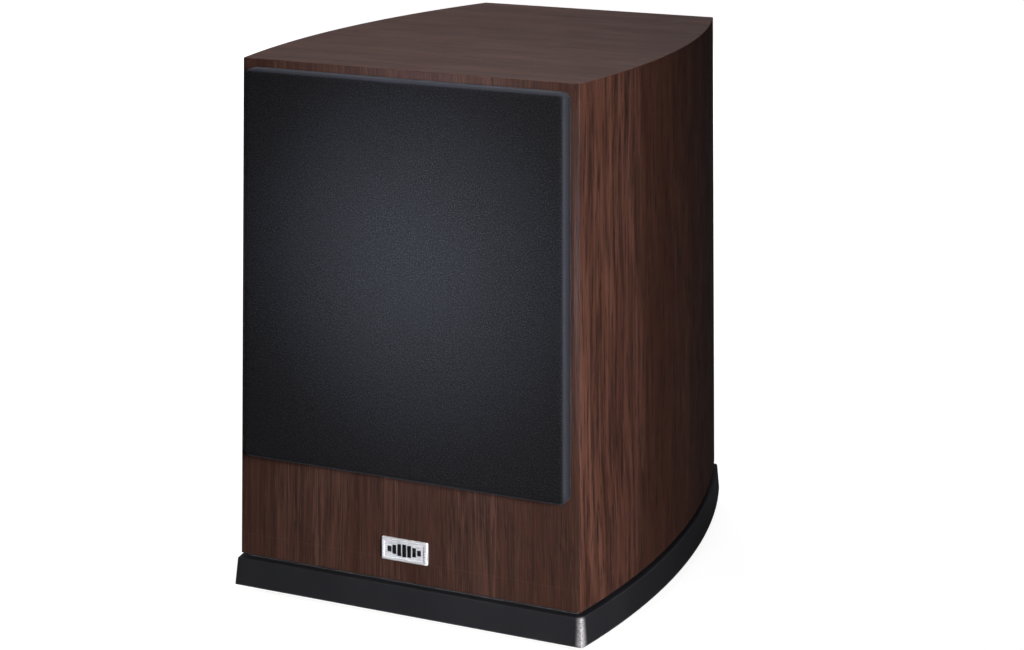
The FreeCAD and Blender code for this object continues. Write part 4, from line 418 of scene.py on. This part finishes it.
def winding():
    """Amber tape wound over a toroid: overlapping turns that run out from its axis."""
    p = Paint("amber_tape", Roughness=0.32, IOR=1.5, Coat_Weight=0.4)
    spot = p.spot()
    turns = p.noise(spot, 260, 3)
    creases = p.add("TexVoronoi", "Distance", Vector=spot, Scale=140.0)
    tone = p.mix(p.span(turns, 0.35, 0.65), (0.42, 0.25, 0.03), (0.62, 0.42, 0.07))
    # the tape is darker in the dents of its creases: painted shade
    tone = p.mix(p.span(creases, 0.0, 0.3, 0.35, 0), tone, (0.20, 0.10, 0.01))
    p.set(p.surface, {"Base Color": tone})
    p.bump(creases, 0.15 * MM)
    return p.material


def lamp():
    p = Paint("green_lamp", Roughness=0.25, IOR=1.5, Emission_Strength=0.6,
              Emission_Color=(0.08, 0.9, 0.16), Subsurface_Weight=0.3)
    haze = p.noise(p.spot(), 900, 3)
    tone = p.mix(haze, (0.04, 0.5, 0.09), (0.12, 0.75, 0.2))
    p.set(p.surface, {"Base Color": tone})
    return p.material


def glass_and_caps():
    """The fuse: a clear tube between two nickel caps, told apart by how far out they are."""
    p = Paint("fuse_glass", IOR=1.5)
    glass_half, clear = 4.9 * MM, 0.9
    away = p.math("ABSOLUTE", p.math("SUBTRACT", p.split(p.here())[0], middle("fuse").x))
    cap = p.math("GREATER_THAN", away, glass_half)
    haze = p.noise(p.spot(), 500, 3)
    seen_through = p.math("SUBTRACT", clear, p.math("MULTIPLY", cap, clear))
    p.set(p.surface, {"Base Color": p.mix(cap, (0.85, 0.9, 0.9), (0.72, 0.70, 0.66)),
                      "Metallic": cap, "Transmission Weight": seen_through,
                      "Roughness": p.span(haze, 0.3, 0.8, 0.05, 0.25)})
    return p.material


def print_white():
    p = Paint("white_print", Roughness=0.6)
    worn = p.noise(p.spot(), 1500, 4)
    tone = p.mix(p.span(worn, 0.62, 0.75), (0.62, 0.62, 0.60), (0.30, 0.30, 0.30))
    p.set(p.surface, {"Base Color": tone})
    return p.material


MATERIALS = {
    "veneer": veneer(),
    "board": fibreboard(),
    "cloth": grille_fabric(),
    "plinth": satin_black(),
    "plastic": moulded("black_plastic", (0.014, 0.014, 0.015), 0.42),
    "gloss": moulded("gloss_black", (0.008, 0.008, 0.009), 0.16, 400, 0.01),
    "knob": moulded("knob_plastic", (0.016, 0.016, 0.017), 0.5, 1800, 0.06),
    "coat": moulded("powder_coat", (0.018, 0.018, 0.019), 0.5, 1100, 0.12),
    "screw": metal("black_steel", (0.10, 0.10, 0.105), 0.35),
    "badge": badge_metal(),
    "mark": moulded("badge_inlay", (0.004, 0.004, 0.005), 0.25, 500, 0.01),
    "zinc": metal("zinc_steel", (0.62, 0.61, 0.58), 0.32),
    "ferrite": moulded("ferrite", (0.035, 0.035, 0.038), 0.6, 500, 0.15),
    "aluminium": metal("aluminium", (0.80, 0.80, 0.81), 0.28, (1, 0.05, 1)),
    "anodised": metal("black_anodised", (0.05, 0.05, 0.055), 0.38, (1, 1, 0.05)),
    "copper": metal("copper", (0.80, 0.38, 0.20), 0.3, (1, 0.1, 1)),
    "gold": metal("gold_plate", (0.92, 0.68, 0.32), 0.18),
    "nickel": metal("nickel_plate", (0.75, 0.73, 0.70), 0.2),
    "cone": moulded("cone_material", (0.022, 0.022, 0.024), 0.48, 240, 0.18),
    "rubber": rubber(),
    "foam": foam(),
    "fluff": fluff(),
    "spider": woven("spider_cotton", (0.20, 0.11, 0.035), (0.42, 0.27, 0.11)),
    "pcb": circuit_board(),
    "tape": winding(),
    "sleeve": moulded("blue_sleeve", (0.018, 0.028, 0.075), 0.3, 600, 0.02),
    "pale": moulded("pale_plastic", (0.60, 0.60, 0.57), 0.45, 900, 0.02, (0.5, 0.5, 0.5)),
    "lamp": lamp(),
    "fuse": glass_and_caps(),
    "wires": pair("wire_sleeves", (0.25, 0.012, 0.012), (0.012, 0.012, 0.012), either_solid),
    "sockets": pair("socket_plastic", (0.62, 0.62, 0.60), (0.42, 0.016, 0.014), right_half),
    "print": print_white(),
}

NODE_MATERIALS = {
    "veneer": "front_baffle left_side_panel right_side_panel top_panel bottom_panel back_panel",
    "board": "internal_brace",
    "plinth": "plinth",
    "plastic": "grille_frame grille_pegs trim_ring terminal_board bass_reflex_tube "
               "power_transistors slide_switch_bodies rocker_housing mains_inlet fuse_drawer",
    "gloss": "power_rocker",
    "knob": "level_knob crossover_knob",
    "coat": "amp_faceplate woofer_basket",
    "screw": "woofer_screws foot_screws port_screws amp_screws",
    "badge": "badge_frame",
    "mark": "badge_mark",
    "zinc": "magnet_plate yoke transformer_clamp potentiometers",
    "ferrite": "magnet_ring",
    "aluminium": "voice_coil_former level_shaft crossover_shaft",
    "anodised": "heat_sink",
    "copper": "voice_coil",
    "gold": "rca_shells",
    "nickel": "inlet_pins",
    "cone": "cone dust_cap",
    "rubber": "peg_cups feet",
    "pcb": "amp_board",
    "tape": "transformer",
    "sleeve": "filter_capacitors",
    "pale": "phase_slider mode_slider",
    "lamp": "status_led",
    "fuse": "fuse",
    "wires": "speaker_wires",
    "sockets": "rca_block",
}
BEVELLED = {
    "power_rocker": 0.5, "level_knob": 0.25, "crossover_knob": 0.25, "mains_inlet": 0.4,
    "rocker_housing": 0.4, "fuse_drawer": 0.35, "phase_slider": 0.3, "mode_slider": 0.3,
    "rca_shells": 0.15, "heat_sink": 0.2, "terminal_board": 0.2, "badge_mark": 0.08,
    "power_transistors": 0.4, "amp_board": 0.2, "trim_ring": 0.5,
}


def finish_cad_nodes():
    """Paints each CAD node, smooths its curved faces and softens the edges of small parts."""
    weld_gap, bevel_angle, crease_angle = 0.002 * MM, math.radians(40), math.radians(28)
    for material, names in NODE_MATERIALS.items():
        for name in names.split():
            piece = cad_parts[name]
            piece.data.materials.clear()
            piece.data.materials.append(MATERIALS[material])
            piece.data.shade_smooth()
            weld = piece.modifiers.new("weld", "WELD")
            weld.merge_threshold = weld_gap
            if name in BEVELLED:
                bevel = piece.modifiers.new("bevel", "BEVEL")
                bevel.width = BEVELLED[name] * MM
                bevel.segments = 2
                bevel.limit_method = "ANGLE"
                bevel.angle_limit = bevel_angle
            crease = piece.modifiers.new("crease", "EDGE_SPLIT")
            crease.split_angle = crease_angle
            # large flat faces keep their own direction, so narrow strips of them don't shade off
            flat = piece.modifiers.new("flat_faces", "WEIGHTED_NORMAL")
            flat.weight = 100


# ---------------------------------------------------------------- mesh helpers


def add_mesh(name, points, faces, material, smooth=True):
    mesh = bpy.data.meshes.new(name)
    mesh.from_pydata([tuple(p) for p in points], [], faces)
    mesh.validate()
    mesh.update()
    made = bpy.data.objects.new(name, mesh)
    bpy.context.scene.collection.objects.link(made)
    made.data.materials.append(MATERIALS[material])
    if smooth:
        made.data.shade_smooth()
    return made


def grid_faces(rows, columns, close_rows=False, close_columns=False):
    """Quads over a grid of points laid out row by row."""
    faces = []
    for i in range(rows if close_rows else rows - 1):
        for j in range(columns if close_columns else columns - 1):
            a, b = i * columns + j, i * columns + (j + 1) % columns
            k = (i + 1) % rows * columns
            faces.append((a, b, k + (j + 1) % columns, k + j))
    return faces


def lathe(name, profile, segments, material):
    """Turns a closed profile of (radius, y) round the woofer's axis."""
    points = []
    for turn in range(segments):
        angle = 2 * math.pi * turn / segments
        for radius, y in profile:
            points.append((radius * math.cos(angle), y, AXIS_Z + radius * math.sin(angle)))
    faces = grid_faces(segments, len(profile), True, True)
    return add_mesh(name, points, faces, material)


def ramp(value, low, high):
    share = min(max((value - low) / (high - low), 0), 1)
    return share * share * (3 - 2 * share)


def distance_from_axis(point):
    return math.hypot(point.x, point.z)


def flex_with_cone(piece, moving, still, measure=distance_from_axis):
    """Bakes the piece's placement into its mesh and works out, for each point, how far it would
    move with the cone: fully where measure(point) is below moving, not at all where it is above
    still. The shares are not kept or used."""
    centre = Vector((0, FRONT_Y, AXIS_Z))
    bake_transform(piece)
    values = [1 - ramp(measure(vertex.co - centre), moving, still)
              for vertex in piece.data.vertices]


# ---------------------------------------------------------------- soft and flexing pieces


def make_grille_cloth():
    """One sheet stretched over the frame and folded round its rim. Points beyond the flat front
    wrap round the edge by as much as they reach past it; over the round window it sags."""
    low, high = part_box("grille_cloth")
    centre_z = (low.z + high.z) / 2
    bend, corner = 3.4 * MM, 2.8 * MM
    window, sag_depth, gather_depth = 132 * MM, 0.5 * MM, 0.12 * MM
    half_x, half_z = (high.x - low.x) / 2 - bend, (high.z - low.z) / 2 - bend
    wrap = bend * math.pi / 2 + (high.y - low.y) - bend
    columns, rows = 150, 162
    points, flat = [], []
    for i in range(rows):
        v = (2 * i / (rows - 1) - 1) * (half_z + wrap)
        for j in range(columns):
            u = (2 * j / (columns - 1) - 1) * (half_x + wrap)
            core_x = min(max(u, corner - half_x), half_x - corner)
            core_z = min(max(v, corner - half_z), half_z - corner)
            du, dv = u - core_x, v - core_z
            far = math.hypot(du, dv)
            over = min(max(far - corner, 0), wrap)
            angle = min(over / bend, math.pi / 2)
            drop = bend * (1 - math.cos(angle)) + max(over - bend * math.pi / 2, 0)
            share = (min(far, corner) + bend * math.sin(angle)) / far if far else 0
            sag = sag_depth * ramp(-math.hypot(core_x, core_z), -window, -60 * MM)
            if far > corner:
                # gathers where the cloth is folded round the four corners
                fold = min(abs(du), abs(dv)) / far * ramp(over, 0, wrap)
                share += gather_depth * fold * math.sin(9 * math.atan2(dv, du)) / far
            points.append((core_x + du * share, low.y + drop + sag,
                           centre_z + core_z + dv * share))
            flat += [u, v, 0]
    cloth = add_mesh("grille_fabric", points, grid_faces(rows, columns), "cloth")
    sheet = cloth.data.attributes.new(SHEET, "FLOAT_VECTOR", "POINT")
    sheet.data.foreach_set("vector", flat)
    thick = cloth.modifiers.new("thickness", "SOLIDIFY")
    thick.thickness = 0.45 * MM
    thick.offset = -1
    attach(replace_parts(cloth, "grille_cloth"), "grille")


def make_surround():
    """The rubber half roll, with a flat rim on either side of it."""
    plane, wall = FRONT_Y + 1.8 * MM, 1.1 * MM
    centre = 104.5 * MM
    crown, hollow = 8.3 * MM, 7.2 * MM
    inner_rim = [88.6 * MM, 91.0 * MM, 94.5 * MM]
    outer_rim = [114.5 * MM, 120.3 * MM]
    front = [(radius, plane) for radius in inner_rim]
    back = [(radius, plane + wall) for radius in inner_rim]
    steps = 16
    for step in range(steps + 1):
        angle = math.pi * step / steps
        across, up = -math.cos(angle), math.sin(angle)
        front.append((centre + crown * across, plane - crown * up))
        back.append((centre + hollow * across, plane - hollow * up + wall * (1 - up)))
    front += [(radius, plane) for radius in outer_rim]
    back += [(radius, plane + wall) for radius in outer_rim]
    piece = lathe("surround_roll", front + back[::-1], 144, "rubber")
    flex_with_cone(piece, 95.5 * MM, 113.3 * MM)
    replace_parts(piece, "surround")


def make_spider():
    """The corrugated cotton disc that centres the voice coil."""
    level, thickness = FRONT_Y + 49.2 * MM, 0.6 * MM
    hub, edge = 25.6 * MM, 78.8 * MM
    first_wave, wave_length, wave_height = 29 * MM, 10.75 * MM, 1.5 * MM
    front, back = [], []
    steps = 72
    for step in range(steps + 1):
        radius = hub + (edge - hub) * step / steps
        fade = ramp(radius, 27 * MM, 31 * MM) * (1 - ramp(radius, 69 * MM, 73 * MM))
        wave = wave_height * fade * math.sin(2 * math.pi * (radius - first_wave) / wave_length)
        front.append((radius, level + wave))
        back.append((radius, level + thickness + wave))
    piece = lathe("spider_disc", front + back[::-1], 120, "spider")
    flex_with_cone(piece, 29 * MM, 71 * MM)
    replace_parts(piece, "spider")


def tube(name, path, radius, sides, material):
    """A braided cord along a list of points, closed at both ends."""
    braid_depth, braid_twist = 0.12, 1.1
    points = []
    for index, spot in enumerate(path):
        ahead = path[min(index + 1, len(path) - 1)] - path[max(index - 1, 0)]
        across = ahead.cross(Vector((1, 0, 0))).normalized()
        upward = across.cross(ahead).normalized()
        for side in range(sides):
            angle = 2 * math.pi * side / sides
            reach = radius * (1 + braid_depth * math.sin(3 * angle + braid_twist * index))
            points.append(spot + (across * math.cos(angle) + upward * math.sin(angle)) * reach)
    faces = grid_faces(len(path), sides, False, True)
    faces.append(tuple(range(sides)))
    faces.append(tuple(range(len(points) - 1, len(points) - 1 - sides, -1)))
    return add_mesh(name, points, faces, material)


def curve_through(corners, steps):
    """Points on a smooth curve through the corners."""
    path = []
    padded = [2 * corners[0] - corners[1], *corners, 2 * corners[-1] - corners[-2]]
    for a, b, c, d in zip(padded, padded[1:], padded[2:], padded[3:]):
        for step in range(steps):
            t = step / steps
            path.append(0.5 * (2 * b + (c - a) * t + (2 * a - 5 * b + 4 * c - d) * t * t
                               + (3 * b - a - 3 * c + d) * t ** 3))
    path.append(corners[-1])
    return path


def make_tinsel_leads():
    """Two braided leads that hang between the terminal board and the back of the cone."""
    behind_and_below = ((51, 86), (42, 92), (35, 89), (35, 76), (27.5, 60))
    for side, label in ((-1, "left"), (1, "right")):
        corners = [Vector((side * 8 * MM, FRONT_Y + behind * MM, AXIS_Z - below * MM))
                   for behind, below in behind_and_below]
        piece = tube(f"tinsel_lead_{label}", curve_through(corners, 10), 0.9 * MM, 8, "copper")
        flex_with_cone(piece, 62 * MM, 84 * MM, lambda point: -point.z)
        if side < 0:
            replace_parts(piece, "tinsel_leads")


def puff_up(piece, pressure, frames):
    """Remeshes a piece, swells it with a short cloth simulation and keeps the settled mesh."""
    remesh = piece.modifiers.new("remesh", "REMESH")
    remesh.mode = "VOXEL"
    remesh.voxel_size = 6 * MM
    cloth = piece.modifiers.new("cloth", "CLOTH")
    cloth.settings.quality = 5
    cloth.settings.use_pressure = True
    cloth.settings.uniform_pressure_force = pressure
    cloth.settings.tension_stiffness = 20
    cloth.settings.effector_weights.gravity = 0
    cloth.point_cache.frame_start = 1
    cloth.point_cache.frame_end = frames
    for frame_number in range(1, frames + 1):
        bpy.context.scene.frame_set(frame_number)
    depsgraph = bpy.context.evaluated_depsgraph_get()
    settled = bpy.data.meshes.new_from_object(piece.evaluated_get(depsgraph))
    piece.modifiers.clear()
    piece.data = settled
    bpy.context.scene.frame_set(1)


def make_wadding():
    """Two fibre batts against the side panels, puffed up a little."""
    low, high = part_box("wadding")
    pressure, frames, limit = 1.2, 8, 2 * MM
    for side, label in ((-1, "left"), (1, "right")):
        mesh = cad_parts["wadding"].data.copy()
        shape = bmesh.new()
        shape.from_mesh(mesh)
        other = [vertex for vertex in shape.verts if vertex.co.x * side < 0]
        bmesh.ops.delete(shape, geom=other, context="VERTS")
        shape.to_mesh(mesh)
        shape.free()
        piece = bpy.data.objects.new(f"wadding_batt_{label}", mesh)
        bpy.context.scene.collection.objects.link(piece)
        puff_up(piece, pressure, frames)
        for vertex in piece.data.vertices:
            for axis in range(3):
                value = vertex.co[axis]
                vertex.co[axis] = min(max(value, low[axis] - limit), high[axis] + limit)
        piece.data.materials.clear()
        piece.data.materials.append(MATERIALS["fluff"])
        piece.data.shade_smooth()
        if side < 0:
            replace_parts(piece, "wadding")
        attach(piece, CABINET)


def rounded_outline(half_x, half_z, radius, steps):
    """Points round a rectangle with round corners, centred on the origin."""
    points = []
    for quarter in range(4):
        start = quarter * math.pi / 2
        corner_x = (half_x - radius) * (1 if quarter in (0, 3) else -1)
        corner_z = (half_z - radius) * (1 if quarter in (0, 1) else -1)
        for step in range(steps + 1):
            angle = start + math.pi / 2 * step / steps
            points.append((corner_x + radius * math.cos(angle),
                           corner_z + radius * math.sin(angle)))
    return points


def make_gasket():
    """A strip of foam squeezed between the face plate and the cabinet, bulging a little."""
    low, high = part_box("amp_gasket")
    centre = (low + high) / 2
    half_x, half_z = (high.x - low.x) / 2, (high.z - low.z) / 2
    skin, strip, bulge = 0.3 * MM, 10.5 * MM, 0.3 * MM
    section = ((0.5 * MM, low.y), (0, low.y + skin), (-bulge / 2, centre.y), (0, high.y - skin),
               (0.5 * MM, high.y), (strip, high.y), (strip + bulge, centre.y), (strip, low.y))
    steps = 6
    points = []
    for inset, y in section:
        outline = rounded_outline(half_x - inset, half_z - inset, max(5 * MM - inset, MM), steps)
        for index, (x, z) in enumerate(outline):
            ripple = 0.05 * MM * math.sin(2.3 * index + 4 * inset / MM)
            points.append((centre.x + x + ripple, y, centre.z + z))
    faces = grid_faces(len(section), 4 * (steps + 1), True, True)
    piece = add_mesh("gasket_foam", points, faces, "foam")
    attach(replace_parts(piece, "amp_gasket"), CABINET)


# ---------------------------------------------------------------- printed and filled details


def flat_bar(x, z, angle, width, length, y):
    """The four corners of a printed bar on the back, with its length along an angle."""
    along, across = (math.cos(angle), math.sin(angle)), (math.sin(angle), -math.cos(angle))
    corners = []
    for s, t in ((-1, -1), (1, -1), (1, 1), (-1, 1)):
        corners.append((x + s * width / 2 * across[0] + t * length / 2 * along[0], y,
                        z + s * width / 2 * across[1] + t * length / 2 * along[1]))
    return corners


def add_bars(name, bars, thickness, body):
    """One piece of several thin raised bars. Each bar is four corners facing +Y."""
    points, faces = [], []
    for bar in bars:
        first = len(points)
        points += bar + [(x, y + thickness, z) for x, y, z in bar]
        faces.append(tuple(range(first + 4, first + 8)))
        faces += [(first + i, first + (i + 1) % 4, first + 4 + (i + 1) % 4, first + 4 + i)
                  for i in range(4)]
    piece = add_mesh(name, points, faces, "print", smooth=False)
    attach(piece, body)


def make_print():
    """Tick marks round each knob, and short lines beside the switches and the sockets."""
    upright, tick_width, tick_radius = math.pi / 2, 0.5 * MM, 12.2 * MM
    below_switch, beside_sockets = 5.2 * MM, 17.5 * MM
    bars = []
    for knob in ("level_knob", "crossover_knob"):
        spot = middle(knob)
        for step in range(11):
            angle = math.radians(240 - 30 * step)
            length = (2.6 if step % 5 == 0 else 1.6) * MM
            radius = tick_radius + length / 2
            x, z = spot.x + radius * math.cos(angle), spot.z + radius * math.sin(angle)
            bars.append(flat_bar(x, z, angle, tick_width, length, PLATE_Y))
    for slider, stops in (("phase_slider", (0, 5)), ("mode_slider", (-3.5, 0, 3.5))):
        spot = middle(slider)
        for stop in stops:
            bars.append(flat_bar(spot.x + stop * MM, spot.z - below_switch, upright, tick_width,
                                 1.8 * MM, PLATE_Y))
    sockets = middle("rca_shells")
    for side in (-1, 1):
        bars.append(flat_bar(sockets.x, sockets.z + side * beside_sockets, 0, 0.4 * MM, 30 * MM,
                             PLATE_Y))
    add_bars("panel_print", bars, 0.05 * MM, CABINET)
    for knob, body in (("level_knob", "level_control"), ("crossover_knob", "crossover_control")):
        spot, face = middle(knob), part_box(knob)[1].y
        # a filled groove from near the middle of the knob to its rim
        groove = flat_bar(spot.x, spot.z + 5.76 * MM, upright, 1.0 * MM, 5.4 * MM,
                          face - 0.5 * MM)
        add_bars(f"{knob}_pointer", [groove], 0.35 * MM, body)


# ---------------------------------------------------------------- stage


def area_light(name, spot, aim, size, power, color=(1, 1, 1), spread=180, mirrored=True):
    """A rectangular light. One that isn't mirrored lights surfaces but leaves no shine on them."""
    data = bpy.data.lights.new(name, "AREA")
    data.shape = "RECTANGLE"
    data.size, data.size_y = size
    data.energy = power
    data.color = color
    data.spread = math.radians(spread)
    light = bpy.data.objects.new(name, data)
    light.location = spot
    light.visible_glossy = mirrored
    light.rotation_euler = (Vector(aim) - Vector(spot)).to_track_quat("-Z", "Y").to_euler()
    bpy.context.scene.collection.objects.link(light)


def make_floor():
    """A wide pale floor that fades to white. Only the camera sees it pale: to the object's own
    light and reflections it is dark, so it throws little light back up."""
    reach, near, far = 12, 0.4, 1.8
    p = Paint("pale_floor", Roughness=0.9, Specular_IOR_Level=0.1)
    here = p.here()
    grain = p.noise(here, 40, 3)
    p.set(p.surface, {"Base Color": p.mix(grain, (0.30, 0.30, 0.30), (0.33, 0.33, 0.33))})
    away = p.vector_math("LENGTH", here, output=1)
    glow = p.add("Emission", Color=(1, 1, 1), Strength=p.span(away, near, far, 0.88, 1.0))
    seen = p.add("AddShader", inputs=(p.surface.outputs[0], glow))
    unseen = p.add("BsdfDiffuse", Color=(0.07, 0.07, 0.072))
    by_camera = p.add("LightPath", "Is Camera Ray")
    both = p.add("MixShader", inputs=(by_camera, unseen, seen))
    p.tree.links.new(both, p.tree.nodes["Material Output"].inputs[0])
    MATERIALS["floor"] = p.material
    corners = [(-reach, -reach, 0), (reach, -reach, 0), (reach, reach, 0), (-reach, reach, 0)]
    add_mesh("floor", corners, [(0, 1, 2, 3)], "floor", smooth=False)


def make_world():
    """White where the camera looks past the floor, and a dim grey room for everything else."""
    world = bpy.data.worlds.new("studio")
    bpy.context.scene.world = world
    world.use_nodes = True
    tree = world.node_tree
    tree.nodes.clear()
    path = tree.nodes.new("ShaderNodeLightPath")
    seen, room = (tree.nodes.new("ShaderNodeBackground") for _ in range(2))
    seen.inputs["Color"].default_value = (1, 1, 1, 1)
    room.inputs["Color"].default_value = (0.85, 0.90, 1.0, 1)
    room.inputs["Strength"].default_value = 0.035
    mix = tree.nodes.new("ShaderNodeMixShader")
    out = tree.nodes.new("ShaderNodeOutputWorld")
    tree.links.new(path.outputs["Is Camera Ray"], mix.inputs[0])
    tree.links.new(room.outputs[0], mix.inputs[1])
    tree.links.new(seen.outputs[0], mix.inputs[2])
    tree.links.new(mix.outputs[0], out.inputs[0])


def make_lights():
    """A broad overhead, a dim front, a narrow key along the right side, a small glow on the
    grille, and two fills from behind and from the left that leave no shine."""
    area_light("overhead", spot=(-0.2, 0.7, 2.2), aim=(0, 0, 0.3), size=(1.6, 1.4), power=19,
               color=(1.0, 0.95, 0.96))
    area_light("front_soft", spot=(-0.2, -2.6, 1.2), aim=(0, 0, 0.25), size=(1.6, 1.2),
               power=0.66, color=(1.0, 0.98, 0.98))
    area_light("right_key", spot=(1.04, -1.02, 0.55), aim=(0.17, -0.30, 0.24), size=(0.20, 0.9),
               power=2.25, color=(1.0, 0.95, 0.93), spread=28)
    area_light("glow", spot=(-0.14, -1.2, 0.40), aim=(0.01, -0.2, 0.28), size=(0.08, 0.08),
               power=0.33, color=(0.80, 0.85, 1.0), spread=18)
    area_light("back_soft", spot=(-0.9, 2.4, 0.9), aim=(0, 0.18, 0.22), size=(1.2, 1.2),
               power=26, mirrored=False)
    area_light("left_soft", spot=(-2.2, 0.45, 1.0), aim=(-0.15, 0, 0.22), size=(1.2, 1.2),
               power=22, mirrored=False)


def make_camera():
    """Level enough to keep the cabinet's edges upright: the view is moved down by lens shift."""
    home = (0.8973, -1.8900, 0.7377)
    tilt, turn, view_shift = 92.095, 25.333, -0.7288
    data = bpy.data.cameras.new("camera")
    data.lens = 86.2
    data.sensor_width = 36
    camera = bpy.data.objects.new("camera", data)
    camera.location = home
    camera.rotation_euler = (math.radians(tilt), 0, math.radians(turn))
    bpy.context.scene.collection.objects.link(camera)
    bpy.context.scene.camera = camera
    # the shift belongs to this view only, so it goes to zero when the camera moves elsewhere
    curve = data.driver_add("shift_y")
    variable = curve.driver.variables.new()
    variable.name = "x"
    variable.targets[0].id = camera
    variable.targets[0].data_path = "location.x"
    curve.driver.expression = f"{view_shift} * (abs(x - {home[0]}) < 0.0001)"


finish_cad_nodes()
make_grille_cloth()
make_surround()
make_spider()
make_tinsel_leads()
make_wadding()
make_gasket()
make_print()
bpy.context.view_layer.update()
make_floor()
make_world()
make_lights()
make_camera()
bpy.context.scene.view_settings.view_transform = "Standard"
